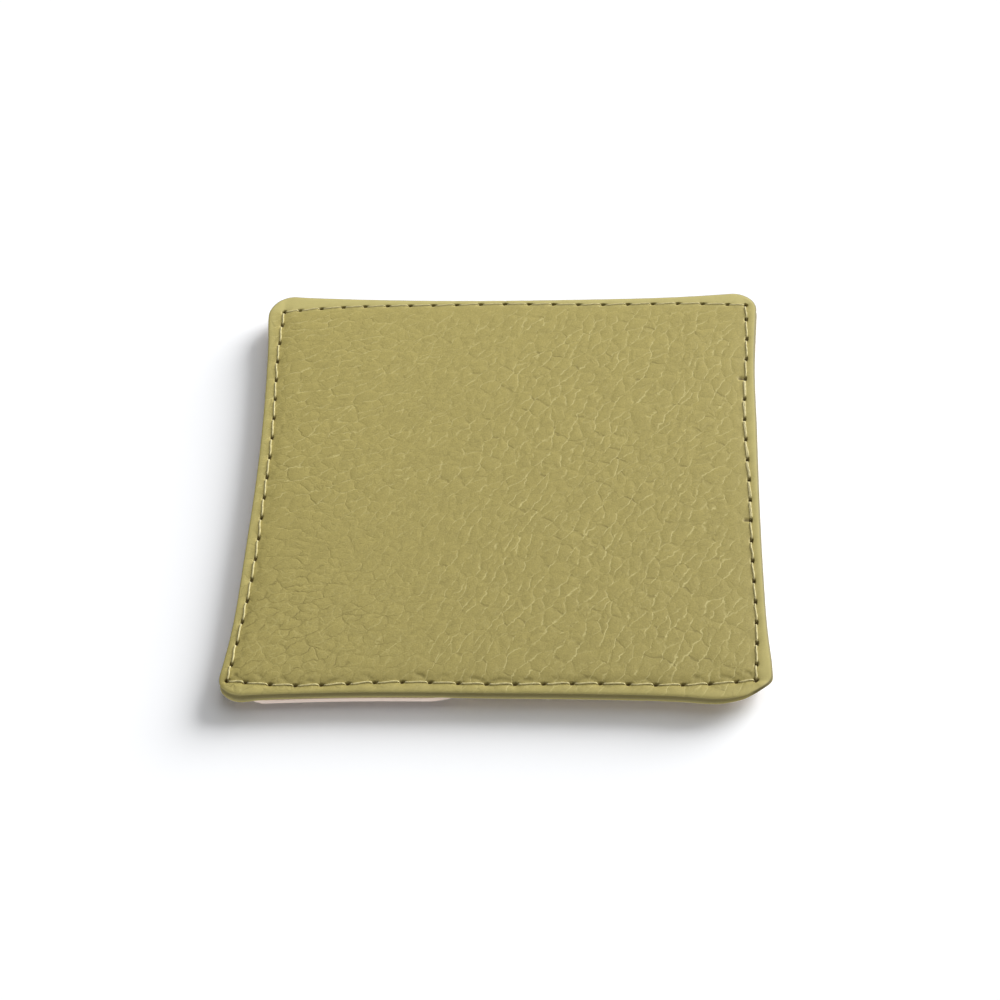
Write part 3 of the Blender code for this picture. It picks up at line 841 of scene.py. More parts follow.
@dataclass(frozen=True)
class KraftBoard(Finish):
    """Pressed kraft fibre board: matt brown, flecked with long fibres."""

    fibre_width: float = 0.6
    fibre_stretch: float = 3.0
    contrast: float = 0.22

    def paint(self, tree: bpy.types.NodeTree, shader: bpy.types.Node) -> None:
        """Adds the fibres."""
        drawn = add_node(tree, "VectorMath", {0: self.place(tree), 1: (1, 1 / self.fibre_stretch, 1)},
                         operation="MULTIPLY").outputs[0]
        fibres = add_node(tree, "TexNoise", {"Vector": drawn, "Scale": 1 / self.fibre_width, "Detail": 5.0})
        tree.links.new(self.toned(tree, fibres.outputs[0], self.contrast), shader.inputs["Base Color"])


@dataclass(frozen=True)
class TwistedThread(Finish):
    """Bonded polyester sewing thread: pale plies with a slight sheen and uneven dye."""

    fleck_size: float = 0.5
    contrast: float = 0.3
    sheen: float = 0.25

    def paint(self, tree: bpy.types.NodeTree, shader: bpy.types.Node) -> None:
        """Adds the uneven dye and the sheen."""
        flecks = add_node(tree, "TexNoise",
                          {"Vector": self.place(tree), "Scale": 1 / self.fleck_size, "Detail": 3.0})
        tree.links.new(self.toned(tree, flecks.outputs[0], self.contrast), shader.inputs["Base Color"])
        shader.inputs["Sheen Weight"].default_value = self.sheen


@dataclass
class Cover:
    """The olive cover: a leather panel whose edge is rolled over and turned under."""

    plan: HolderPlan
    relief: CoverRelief
    finish: PebbledLeather
    bottom: float
    slot_top: float
    slot_bottom: float
    turn_in: float = 8.0
    fold_inset: float = 1.3
    shoulder_inset: float = 0.95
    stitch_cells: int = 12
    corner_cells: int = 17
    least_corner: float = 0.012
    edge_detail: int = 4001
    strip_cells: int = 12
    end_strip_cells: int = 18
    # The rolled edge below the top: inset, and share of the height from the top down to the turn-in
    roll: tuple[tuple[float, float], ...] = (
        (0.50, 0.005), (0.28, 0.03), (0.15, 0.08), (0.12, 0.14), (0.15, 0.21), (0.25, 0.30), (0.36, 0.40),
        (0.40, 0.50), (0.38, 0.60), (0.30, 0.70), (0.18, 0.78), (0.04, 0.85), (0.0, 0.90), (0.06, 0.95),
        (0.30, 0.985), (1.20, 1.0))
    # Share of the near right corner's pull that takes hold at the top already
    top_pull: float = 0.7
    # How far the fold's lower edge is pressed up at the near right corner and bulges down at the near left
    corner_presses: tuple[tuple[tuple[int, int], float], ...] = (((1, -1), 0.9), ((-1, -1), -0.85))
    press_reach: float = 7.0
    press_inset: float = 1.0
    # Where down the roll its groove and its lower lip lie, how dark the groove is painted as painted shade,
    # how pale the lip is painted as a painted highlight, and how dark the roll is painted on the sides in the
    # light, as painted shade
    groove: tuple[float, float, float, float] = (0.02, 0.22, 0.68, 0.92)
    lip: tuple[float, float, float, float] = (0.80, 0.90, 0.96, 1.0)
    groove_shade: float = 0.70
    lip_highlight_share: float = 0.28
    light_side_shade: tuple[tuple[Side, float], ...] = ((Side.RIGHT, 0.75), (Side.FAR, 0.7))
    light_side_shade_reach: float = 2.5
    light_side_shade_full: float = 0.04
    pucker_shade: float = 0.35
    # How much of the grain is stretched flat inside each side's seam, how far in, how pale the rim is and how
    # far inside the seam it starts to be
    flat_grain: tuple[tuple[Side, float], ...] = (
        (Side.RIGHT, 0.8), (Side.FAR, 0.75), (Side.LEFT, 0.3), (Side.NEAR, 0.25))
    flat_reach: float = 4.5
    rim_grain: float = 0.6
    pale_rim: tuple[tuple[Side, float, float], ...] = (
        (Side.RIGHT, 0.7, 0.5), (Side.FAR, 1.0, 1.2), (Side.LEFT, 0.6, 0.0), (Side.NEAR, 0.4, 0.0))
    pale_reach: float = 2.2

    def seam_samples(self, side: Side) -> np.ndarray:
        """Seam points that the grid lines of one side pass through, some at every needle hole."""
        knots = self.plan.stitch_distances(side)
        cells = [self.corner_cells] + [self.stitch_cells] * (len(knots) - 3) + [self.corner_cells]
        parts = [np.linspace(a, b, n, endpoint=False) for a, b, n in zip(knots, knots[1:], cells)]
        return along_line(self.plan.seam_line(side), np.append(np.concatenate(parts), knots[-1]))

    def edge_samples(self, side: Side, seam: np.ndarray, strip: int) -> np.ndarray:
        """Places along one side's edge that face the seam points, with the corners filled in evenly.

        Args:
            side: which side
            seam: the seam points, anticlockwise
            strip: number of cells from a corner to the first seam point

        Returns:
            Shares along the edge.
        """
        axis = 1 if side in (Side.RIGHT, Side.LEFT) else 0
        dense = np.linspace(0, 1, self.edge_detail)
        line = self.plan.edge(side, dense, self.shoulder_inset, self.top_pull)[:, axis]
        sign = 1 if line[-1] > line[0] else -1
        places = np.interp(sign * seam[:, axis], sign * line, dense)
        # Where a corner hole lies close to the corner's tip, the first stitch is spread out along the edge
        n = self.corner_cells
        places[:n] = np.linspace(max(places[0], self.least_corner), places[n], n, endpoint=False)
        places[-n:] = np.linspace(min(places[-1], 1 - self.least_corner), places[-n - 1], n,
                                  endpoint=False)[::-1]
        ends = np.linspace(0, 1, strip, endpoint=False)
        return np.concatenate([ends * places[0], places, 1 - ends[::-1] * (1 - places[-1])])

    def top_grid(self) -> tuple[np.ndarray, dict[Side, np.ndarray]]:
        """Plan points of the upper face, in nine patches that share the seam and the edge.

        Returns:
            Points as rows, columns and coordinates, and the shares of each side's edge points.
        """
        strips = {Side.RIGHT: self.end_strip_cells, Side.LEFT: self.end_strip_cells,
                  Side.NEAR: self.strip_cells, Side.FAR: self.strip_cells}
        seam = {side: self.seam_samples(side) for side in Side}
        shares = {side: self.edge_samples(side, seam[side], strips[side]) for side in Side}
        edge = {side: self.plan.edge(side, shares[side], self.shoulder_inset, self.top_pull) for side in Side}
        # Near and right run with the axes; far and left are turned round to do so too
        for curves in (seam, edge):
            curves[Side.FAR] = curves[Side.FAR][::-1]
            curves[Side.LEFT] = curves[Side.LEFT][::-1]
        columns, rows = self.strip_cells, self.end_strip_cells
        width, depth = len(edge[Side.NEAR]), len(edge[Side.RIGHT])
        grid = np.zeros((depth, width, 2))
        middle_rows, middle_columns = slice(rows, depth - rows), slice(columns, width - columns)
        grid[middle_rows, middle_columns] = coons_patch(seam[Side.NEAR], seam[Side.FAR],
                                                        seam[Side.LEFT], seam[Side.RIGHT])
        across = np.linspace(0, 1, columns + 1)[None, :, None]
        upward = np.linspace(0, 1, rows + 1)[:, None, None]
        for side, low in ((Side.LEFT, True), (Side.RIGHT, False)):
            outer, inner = edge[side][middle_rows][:, None], seam[side][:, None]
            strip = outer * (1 - across) + inner * across if low else inner * (1 - across) + outer * across
            grid[middle_rows, slice(0, columns + 1) if low else slice(width - columns - 1, width)] = strip
        for side, low in ((Side.NEAR, True), (Side.FAR, False)):
            outer, inner = edge[side][middle_columns][None], seam[side][None]
            strip = outer * (1 - upward) + inner * upward if low else inner * (1 - upward) + outer * upward
            grid[slice(0, rows + 1) if low else slice(depth - rows - 1, depth), middle_columns] = strip
        for end, end_low in ((Side.NEAR, True), (Side.FAR, False)):
            for side, side_low in ((Side.LEFT, True), (Side.RIGHT, False)):
                r = slice(0, rows + 1) if end_low else slice(depth - rows - 1, depth)
                c = slice(0, columns + 1) if side_low else slice(width - columns - 1, width)
                block = grid[r, c].copy()
                grid[r, c] = coons_patch(edge[end][c] if end_low else block[0],
                                         block[-1] if end_low else edge[end][c],
                                         edge[side][r] if side_low else block[:, 0],
                                         block[:, -1] if side_low else edge[side][r])
        return grid, shares

    def ring(self, shares: dict[Side, np.ndarray], inset: float, rolled: float) -> np.ndarray:
        """The edge as one closed ring of plan points, anticlockwise from the near right corner.

        Args:
            shares: places along each side
            inset: how far inside the outline
            rolled: how much of the near right corner's pull takes hold, from 0 to 1

        Returns:
            Plan points.
        """
        order = (Side.RIGHT, Side.FAR, Side.LEFT, Side.NEAR)
        return np.concatenate([self.plan.edge(side, shares[side], inset, rolled)[:-1] for side in order])

    def section(self) -> list[tuple[float, float]]:
        """Inset of each ring below the top, and its share of the height down to the turn-in's underside."""
        return [*self.roll, (self.turn_in / 2, 1.0), (self.turn_in, 1.0)]

    def lower_edge(self, plan_points: np.ndarray, inset: float) -> np.ndarray:
        """Heights of the fold's underside, where the corners and the near edge are pressed up or bulge down.

        Args:
            plan_points: points of the outline
            inset: how far inside the outline

        Returns:
            Heights.
        """
        height = self.bottom + self.plan.near_lift * self.plan.lifted(plan_points)
        for signs, press in self.corner_presses:
            corner = np.array(signs) * (self.plan.width / 2, self.plan.depth / 2)
            near = np.exp(-np.sum((plan_points - corner) ** 2, axis=1) / self.press_reach ** 2)
            outer = 1.0 if press > 0 else float(smooth_step(np.array(1 - inset / self.press_inset)))
            height = height + press * near * outer
        return height

    def rings(self, shares: dict[Side, np.ndarray], heights: np.ndarray) -> list[np.ndarray]:
        """Rings below the top: the rolled edge, the turn-in and the slot above it.

        Args:
            shares: places along each side
            heights: heights of the top's own edge

        Returns:
            The rings' points, from the top down and inwards.
        """
        outline = self.ring(shares, 0.0, 1.0)
        points = []
        for inset, share in self.section():
            rolled = self.top_pull + (1 - self.top_pull) * float(smooth_step(np.array(share * 2)))
            drop = (self.lower_edge(outline, inset) - heights) * share
            points.append(np.column_stack([self.ring(shares, inset, rolled), heights + drop]))
        for inset, height in ((self.turn_in, self.slot_bottom), (self.fold_inset, self.slot_bottom),
                              (self.fold_inset, self.slot_top)):
            lowest = self.lower_edge(outline, inset) + MM
            points.append(np.column_stack([self.ring(shares, inset, 1.0), np.maximum(height, lowest)]))
        return points

    def build(self) -> bpy.types.Object:
        """Builds the cover's mesh, closed round its rolled edge and turn-in."""
        grid, shares = self.top_grid()
        numbers = np.arange(grid.shape[0] * grid.shape[1]).reshape(grid.shape[:2])
        plan_points = grid.reshape(-1, 2)
        pits = self.relief.pits(plan_points)
        heights = self.relief.heights(plan_points) - self.relief.pit_depth * pits
        faces = grid_quads(numbers).reshape(-1, 4).tolist()
        ring = np.concatenate([numbers[:-1, -1], numbers[-1, :0:-1], numbers[:0:-1, 0], numbers[0, :-1]])
        rings = self.rings(shares, heights[ring])
        for i in range(len(rings)):
            following = numbers.size + i * len(ring) + np.arange(len(ring))
            faces += ring_quads(following, ring)
            ring = following
        faces.append(ring[::-1].tolist())
        points = np.concatenate([np.column_stack([plan_points, heights]), *rings])
        piece = new_piece("cover_leather", points, faces)
        hidden = [1.0] * (len(rings) - len(self.section()))
        down = np.repeat([share for _, share in self.section()] + hidden, len(ring))
        self.mark(piece, points[:, :2], pits, np.concatenate([np.zeros(len(pits)), down]))
        self.finish.emboss(piece)
        return piece

    def mark(self, piece: bpy.types.Object, plan_points: np.ndarray, pits: np.ndarray,
             down: np.ndarray) -> None:
        """Stores where the grain and the pale rim show, where painted shade lies in the fold's groove, on the
        sides facing the light, in the puckers and in the needle holes, and where a painted highlight lies on
        the fold's lip.

        Args:
            piece: the cover
            plan_points: its vertices in plan
            pits: needle holes at the top's vertices
            down: how far each vertex is down the rolled edge, from 0 to 1
        """
        inside = {side: self.plan.seam_places(plan_points, side)[0] for side in Side}
        flat = np.max([share * smooth_step(1 - inside[side] / self.flat_reach)
                       for side, share in self.flat_grain], axis=0)
        pale = np.max([share * smooth_step((start - inside[side]) / self.pale_reach)
                       for side, share, start in self.pale_rim], axis=0)
        shown = np.where(down == 0, 1.0, np.where(down < self.groove[1], self.rim_grain, 0.0))
        # Painted shade in the roll's groove, fading out at the near right corner
        shade = self.groove_shade * np.interp(down, self.groove, (0, 1, 1, 0))
        corner = np.array([self.plan.width / 2, -self.plan.depth / 2])
        shade *= 1 - np.exp(-np.sum((plan_points - corner) ** 2, axis=1) / self.plan.near_right_reach ** 2)
        # Painted shade on the roll of the sides that face the light
        for side, share in self.light_side_shade:
            beside = smooth_step(2 - self.plan.inside_edge(plan_points, side) / self.light_side_shade_reach)
            shade = np.maximum(shade, share * beside * smooth_step(down / self.light_side_shade_full))
        add_attribute(piece, "grain", shown * (1 - flat))
        add_attribute(piece, "rim", pale)
        # Painted shade in the puckers' creases
        add_attribute(piece, "pucker", self.pucker_shade * self.relief.puckers(plan_points) * (down == 0))
        # The fold attribute carries the painted shade of the groove and of the sides facing the light
        add_attribute(piece, "fold", shade)
        # Painted highlight on the fold's lower lip
        add_attribute(piece, "lip", self.lip_highlight_share * np.interp(down, self.lip, (0, 1, 1, 0)))
        # The needle holes are painted dark brown as painted shade
        add_attribute(piece, "pit", np.concatenate([pits, np.zeros(len(down) - len(pits))]))
        # Used for the painted shade towards the near edge
        add_attribute(piece, "near_to_far", 0.5 + plan_points[:, 1] / self.plan.depth)

    def dress(self, piece: bpy.types.Object) -> None:
        """Gives the cover its leather and its place in the frame, and hides the CAD node it stands in for."""
        piece.data.materials.append(self.finish.material())
        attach(piece, BODY)
        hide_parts("front_cover")


@dataclass
class RimThread:
    """One thread of the rim lockstitch, twisted from plies, run over where the seam starts and ends."""

    name: str
    node: str
    plan: HolderPlan
    finish: TwistedThread
    face: Face
    lock: float
    diameter: float = 0.35
    plies: int = 3
    ply_turn: float = 1.3
    ply_depth: float = 0.24
    # How far the thread's middle stands over the face at the ends of a stitch, as a share of its radius, and
    # how far the stitch arches over that, in the order of the sides
    beds: tuple[float, ...] = (-0.3, -0.4, -0.2, -0.5)
    arches: tuple[float, ...] = (0.11, 0.09, 0.12, 0.20)
    slant: float = 0.10
    # How unevenly the stitches slant and arch
    slant_spread: tuple[float, float] = (0.4, 1.3)
    arch_spread: tuple[float, float] = (0.7, 1.2)
    # How far apart the two passes of the run-over lie, as a share of the diameter
    run_over_gap: float = 0.5
    # Share of a stitch that is down in the hole, and share in which the thread bends over the hole's edge
    hole_share: float = 0.03
    bend_share: float = 0.12
    # How far from a hole the thread's bearing on the face is taken
    bearing: float = 1.1
    stitch_points: int = 22
    round_points: int = 12

    def stitches(self) -> list[tuple[Side, np.ndarray, np.ndarray]]:
        """Side, first and last hole of each stitch, clockwise from the start of the run-over to its end."""
        loop = []
        for side in (Side.RIGHT, Side.NEAR, Side.LEFT, Side.FAR):
            holes = self.plan.holes(side)[::-1]
            loop += [(side, a, b) for a, b in zip(holes, holes[1:])]
        first = self.plan.run_over_ends()[0]
        start = next(i for i, stitch in enumerate(loop) if np.array_equal(stitch[1], first))
        return loop[start:] + loop[:start] + loop[start:start + self.plan.run_over]

    def path(self, surface: Callable[[np.ndarray], np.ndarray]) -> np.ndarray:
        """The thread's centre line.

        Args:
            surface: gives the height of the face at plan points

        Returns:
            Points in order along the thread.
        """
        random = np.random.default_rng(SEED)
        stitches = self.stitches()
        up = self.face.value
        radius = self.diameter / 2
        share = np.linspace(0, 1, self.stitch_points, endpoint=False)
        rise = smooth_step((np.minimum(share, 1 - share) - self.hole_share) / self.bend_share)
        parts = []
        for i, (side, a, b) in enumerate(stitches):
            way = (b - a) / np.linalg.norm(b - a)
            out = np.array([way[1], -way[0]])
            # The two passes of the run-over lie side by side
            passes = (i < self.plan.run_over) - (i >= len(stitches) - self.plan.run_over)
            beside = radius * self.run_over_gap * passes
            sway = (beside * rise
                    + self.slant * np.sin(2 * math.pi * share) * random.uniform(*self.slant_spread))
            plan = a + (b - a) * share[:, None] + out * sway[:, None]
            ends = surface(np.array([a + way * self.bearing, b - way * self.bearing]))
            crest = ends[0] + (ends[1] - ends[0]) * share + up * radius * self.beds[side.value]
            crest += (up * self.arches[side.value] * random.uniform(*self.arch_spread)
                      * np.sin(math.pi * share))
            parts.append(np.column_stack([plan, self.lock + (crest - self.lock) * rise]))
        return np.concatenate(parts)

    def build(self, surface: Callable[[np.ndarray], np.ndarray]) -> bpy.types.Object:
        """Builds the twisted tube along the stitches.

        Args:
            surface: gives the height of the face at plan points

        Returns:
            The thread.
        """
        path = self.path(surface)
        forward = np.gradient(path, axis=0)
        lengths = np.linalg.norm(forward, axis=1)
        forward /= lengths[:, None]
        sideways = np.cross(forward, [0, 0, 1])
        sideways /= np.linalg.norm(sideways, axis=1)[:, None]
        upward = np.cross(sideways, forward)
        turn = 2 * math.pi * np.cumsum(lengths) / self.ply_turn
        angle = np.linspace(0, 2 * math.pi, self.round_points, endpoint=False)
        lobes = np.abs(np.cos(self.plies / 2 * (angle[None] - turn[:, None] / self.plies)))
        radius = self.diameter / 2 * (1 - self.ply_depth * (1 - lobes))
        rings = (path[:, None] + (radius * np.cos(angle))[..., None] * sideways[:, None]
                 + (radius * np.sin(angle))[..., None] * upward[:, None])
        numbers = np.arange(rings.shape[0] * rings.shape[1]).reshape(rings.shape[:2])
        faces = [numbers[0][::-1].tolist(), numbers[-1].tolist()]
        for lower, upper in zip(numbers, numbers[1:]):
            faces += ring_quads(lower, upper)
        return new_piece(self.name, rings.reshape(-1, 3), faces)

    def dress(self, piece: bpy.types.Object) -> None:
        """Gives the thread its finish and its place in the frame."""
        piece.data.materials.append(self.finish.material())
        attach(piece, BODY)
        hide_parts(self.node)


@dataclass
class BackSheet:
    """A thin sheet of the back, whose outer edge is held in the rim seam."""

    name: str
    node: str
    slot: str
    plan: HolderPlan
    finish: Finish
    bottom: float
    rim_bottom: float
    thickness: float
    setback: float = 0.5
    rim_width: float = 3.3
    rim_ramp: float = 2.2
    edge_round: float = 0.12
    cell: float = 1.3

    def layout(self) -> tuple[np.ndarray, np.ndarray]:
        """The sheet's plan points as rows, columns and coordinates, and which of its cells are there."""
        raise NotImplementedError

    def held(self, points: np.ndarray) -> np.ndarray:
        """How far plan points lie inside the nearest edge that is sewn down."""
        raise NotImplementedError

    def flat(self) -> tuple[tuple[float, float], float]:
        """Width and length that the sheet is cut from, and its flat area."""
        raise NotImplementedError

    def steps(self, length: float) -> int:
        """Number of grid points along a length."""
        return int(abs(length) / self.cell) + 2

    def heights(self, points: np.ndarray) -> np.ndarray:
        """Heights of the sheet's middle: loose in its field, and raised where the rim holds it."""
        loose = smooth_step((self.held(points) - self.rim_width) / self.rim_ramp)
        lift = self.plan.near_lift * self.plan.lifted(points)
        return self.rim_bottom + self.thickness / 2 + (self.bottom - self.rim_bottom) * loose + lift

    def build(self) -> bpy.types.Object:
        """Builds the sheet with its thickness and its slightly rounded cut edges."""
        grid, present = self.layout()
        numbers = np.arange(grid.shape[0] * grid.shape[1]).reshape(grid.shape[:2])
        used, quads = np.unique(grid_quads(numbers)[present], return_inverse=True)
        plan_points = grid.reshape(-1, 2)[used]
        points = np.column_stack([plan_points, self.heights(plan_points)])
        piece = new_piece(self.name, points, quads.reshape(-1, 4).tolist())
        solid = piece.modifiers.new("thickness", "SOLIDIFY")
        solid.thickness = self.thickness * MM
        solid.offset = 0.0
        rounding = piece.modifiers.new("cut_edges", "BEVEL")
        rounding.width = self.edge_round * MM
        rounding.segments = 2
        apply_modifiers(piece)
        return piece

    def dress(self, piece: bpy.types.Object, under: list[str]) -> None:
        """Gives the sheet its finish and its place in the frame, and hides the CAD node it stands in for.

        Args:
            piece: the sheet
            under: names of what it lies on, not used
        """
        piece.data.materials.append(self.finish.material())
        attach(piece, BODY)
        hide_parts(self.node)


@dataclass
class WholeSheet(BackSheet):
    """A sheet over the holder's full width, from the near edge to its mouth or to the far edge."""

    mouth: float | None = None
    # The near edge peeps out from under the cover at the left and is trimmed back towards the right
    peep: float = 0.05
    near_setback: float = 1.6
    # How much further the near right corner is trimmed, and over what reach
    corner_setback: tuple[float, float] = (-0.9, 0.9)
    corner_reach: float = 7.0
    side_detail: int = 801

    def layout(self) -> tuple[np.ndarray, np.ndarray]:
        """The sheet's plan points as rows, columns and coordinates, and which of its cells are there."""
        shares = np.linspace(0, 1, self.steps(self.plan.width))
        near = self.plan.edge(Side.NEAR, shares)
        near[:, 1] += self.near_setback - (self.near_setback + self.peep) * self.plan.lifted(near)
        near = self.trimmed(near)
        dense = np.linspace(0, 1, self.side_detail)
        left = self.plan.edge(Side.LEFT, dense, self.setback)[::-1]
        right = self.trimmed(self.plan.edge(Side.RIGHT, dense, self.setback))
        if self.mouth is None:
            far = self.plan.edge(Side.FAR, shares, self.setback)[::-1]
        else:
            left, right = (side[side[:, 1] <= self.mouth] for side in (left, right))
            far = np.linspace(left[-1], right[-1], len(shares))
        left, right = (np.concatenate([[start], side[side[:, 1] > start[1]][:-1], [end]])
                       for side, start, end in ((left, near[0], far[0]), (right, near[-1], far[-1])))
        rows = np.linspace(0, 1, self.steps(far[0, 1] - near[0, 1]))
        left, right = (along_line(side, rows * run_lengths(side)[-1]) for side in (left, right))
        grid = coons_patch(near, far, left, right)
        return grid, np.ones((grid.shape[0] - 1, grid.shape[1] - 1), bool)

    def trimmed(self, points: np.ndarray) -> np.ndarray:
        """Moves points of the edge in to where the near right corner is trimmed."""
        corner = np.array([self.plan.width / 2, -self.plan.depth / 2])
        near = np.exp(-np.sum((points - corner) ** 2, axis=1) / self.corner_reach ** 2)
        return points + near[:, None] * np.array(self.corner_setback)

    def held(self, points: np.ndarray) -> np.ndarray:
        """How far plan points lie inside the nearest edge that is sewn down."""
        sides = (Side.NEAR, Side.LEFT, Side.RIGHT)
        return np.min([self.plan.inside_edge(points, side) for side in sides], axis=0)

    def flat(self) -> tuple[tuple[float, float], float]:
        """Width and length that the sheet is cut from, and its flat area."""
        far = self.plan.depth / 2 if self.mouth is None else self.mouth
        length = far + self.plan.depth / 2
        return (self.plan.width, length), self.plan.width * length


@dataclass
class TonguePocket(BackSheet):
    """A T-shaped pocket: two wings sewn into the side seams, and a tongue sewn down across its end."""

    mouth: float = 0.0
    wing: float = 12.2
    tongue_half: float = 40.4
    tongue_depth: float = 46.5
    end_margin: float = 2.5

    def layout(self) -> tuple[np.ndarray, np.ndarray]:
        """The sheet's plan points as rows, columns and coordinates, and which of its cells are there."""
        wing_line, end = self.mouth - self.wing, self.mouth - self.tongue_depth
        below = np.linspace(end, wing_line, self.steps(wing_line - end))[:-1]
        rows = np.concatenate([below, np.linspace(wing_line, self.mouth, self.steps(self.wing))])
        tongue = np.linspace(-self.tongue_half, self.tongue_half, self.steps(2 * self.tongue_half))
        outward = np.linspace(0, 1, self.steps(self.plan.width / 2 - self.tongue_half))[1:]
        left, right = (self.plan.reach(side, rows) - self.setback - self.tongue_half
                       for side in (Side.LEFT, Side.RIGHT))
        x = np.concatenate([-self.tongue_half - left[:, None] * outward[::-1],
                            np.tile(tongue, (len(rows), 1)),
                            self.tongue_half + right[:, None] * outward], axis=1)
        grid = np.stack([x, np.tile(rows[:, None], (1, x.shape[1]))], axis=-1)
        present = np.ones((grid.shape[0] - 1, grid.shape[1] - 1), bool)
        present[:len(below), :len(outward)] = False
        present[:len(below), -len(outward):] = False
        return grid, present

    def held(self, points: np.ndarray) -> np.ndarray:
        """How far plan points lie inside the nearest edge that is sewn down."""
        sides = [self.plan.inside_edge(points, side) for side in (Side.LEFT, Side.RIGHT)]
        end = points[:, 1] - self.mouth + self.tongue_depth - self.end_margin + self.rim_width
        return np.min([*sides, end], axis=0)

    def flat(self) -> tuple[tuple[float, float], float]:
        """Width and length that the sheet is cut from, and its flat area."""
        width = self.plan.width - 2 * self.setback
        tongue = 2 * self.tongue_half * (self.tongue_depth - self.wing)
        return (width, self.tongue_depth), width * self.wing + tongue


@dataclass
class InnerParts:
    """CAD nodes that stay as they are: the board inside the cover and the seams inside the pockets."""

    board: KraftBoard
    thread: TwistedThread
    threads: tuple[str, ...] = ("top_pocket_needle_thread", "top_pocket_bobbin_thread",
                                "middle_pocket_needle_thread", "middle_pocket_bobbin_thread")

    def dress(self) -> None:
        """Gives each node its finish."""
        finishes = (("stiffener_board", self.board), *((name, self.thread) for name in self.threads))
        for name, finish in finishes:
            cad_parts[name].material_slots[0].material = finish.material()
            log.info("%s: CAD node in %s", name, finish.name)


@dataclass
class Studio:
    """White paper floor, soft box at the far right, light overhead, low white card, white surround."""

    floor_size: float = 3000.0
    floor_colour: str = "F3F4F6"
    floor_boost: float = 1.19
    # Azimuth, elevation, spread and strength of the soft box, of the light over the table and of the white
    # card beside the camera
    soft_box: tuple[float, float, float, float] = (42.0, 21.0, 40.0, 5.1)
    overhead: tuple[float, float, float, float] = (50.0, 60.0, 60.0, 0.9)
    white_card: tuple[float, float, float, float] = (-115.0, 2.0, 10.0, 2.0)
    fill: float = 0.13

    def build(self) -> None:
        """Builds the floor, the light and the surround, and sets the plain view transform."""
        half = self.floor_size / 2
        corners = np.array([(-half, -half, 0), (half, -half, 0), (half, half, 0), (-half, half, 0)])
        floor = new_piece("floor", corners, [(0, 1, 2, 3)])
        floor.data.materials.append(self.paper())
        self.lamp("soft_box", *self.soft_box)
        self.lamp("overhead", *self.overhead)
        self.lamp("white_card", *self.white_card)
        self.surround()
        bpy.context.scene.view_settings.view_transform = "Standard"

    def seen(self, tree: bpy.types.NodeTree, plain: float, bright: float) -> bpy.types.NodeSocket:
        """A level for what the eye sees, directly, mirrored or through glass, and another for the light.

        Args:
            tree: nodes of a material or a world
            plain: level for rays of light
            bright: level for rays of sight

        Returns:
            Socket of the level.
        """
        ray = add_node(tree, "LightPath")
        sight = ray.outputs["Is Camera Ray"]
        for name in ("Is Glossy Ray", "Is Transmission Ray"):
            sight = add_node(tree, "Math", {0: sight, 1: ray.outputs[name]}, operation="MAXIMUM").outputs[0]
        return add_node(tree, "MapRange", {"Value": sight, "To Min": plain, "To Max": bright}).outputs[0]

    def paper(self) -> bpy.types.Material:
        """White matt paper: just white to the eye where the light falls, and plain paper to the holder."""
        material = bpy.data.materials.new("white_paper")
        material.use_nodes = True
        tree = material.node_tree
        tree.nodes.remove(tree.nodes["Principled BSDF"])
        colour = add_node(tree, "VectorMath",
                          {0: linear_colour(self.floor_colour)[:3],
                           "Scale": self.seen(tree, 1.0, self.floor_boost)},
                          operation="SCALE")
        paper = add_node(tree, "BsdfDiffuse", {"Color": colour.outputs[0]})
        tree.links.new(paper.outputs[0], tree.nodes["Material Output"].inputs["Surface"])
        return material

    def lamp(self, name: str, azimuth: float, elevation: float, spread: float, strength: float) -> None:
        """Adds a wide soft light that falls evenly on everything.

        Args:
            name: the light's name
            azimuth: direction that it shines from, in degrees anticlockwise from the right
            elevation: its height over the floor, in degrees
            spread: its width as seen from the holder, in degrees
            strength: light that it throws on a face turned to it
        """
        around, above = math.radians(azimuth), math.radians(elevation)
        way = Vector((math.cos(around) * math.cos(above), math.sin(around) * math.cos(above),
                      math.sin(above)))
        data = bpy.data.lights.new(name, "SUN")
        data.angle = math.radians(spread)
        data.energy = strength
        lamp = bpy.data.objects.new(name, data)
        lamp.rotation_euler = way.to_track_quat("Z", "Y").to_euler()
        bpy.context.scene.collection.objects.link(lamp)

    def surround(self) -> None:
        """An even fill that the eye sees as white."""
        world = bpy.data.worlds.new("white_surround")
        bpy.context.scene.world = world
        world.use_nodes = True
        tree = world.node_tree
        tree.links.new(self.seen(tree, self.fill, 1.0), tree.nodes["Background"].inputs["Strength"])
        tree.nodes["Background"].inputs["Color"].default_value = (1, 1, 1, 1)


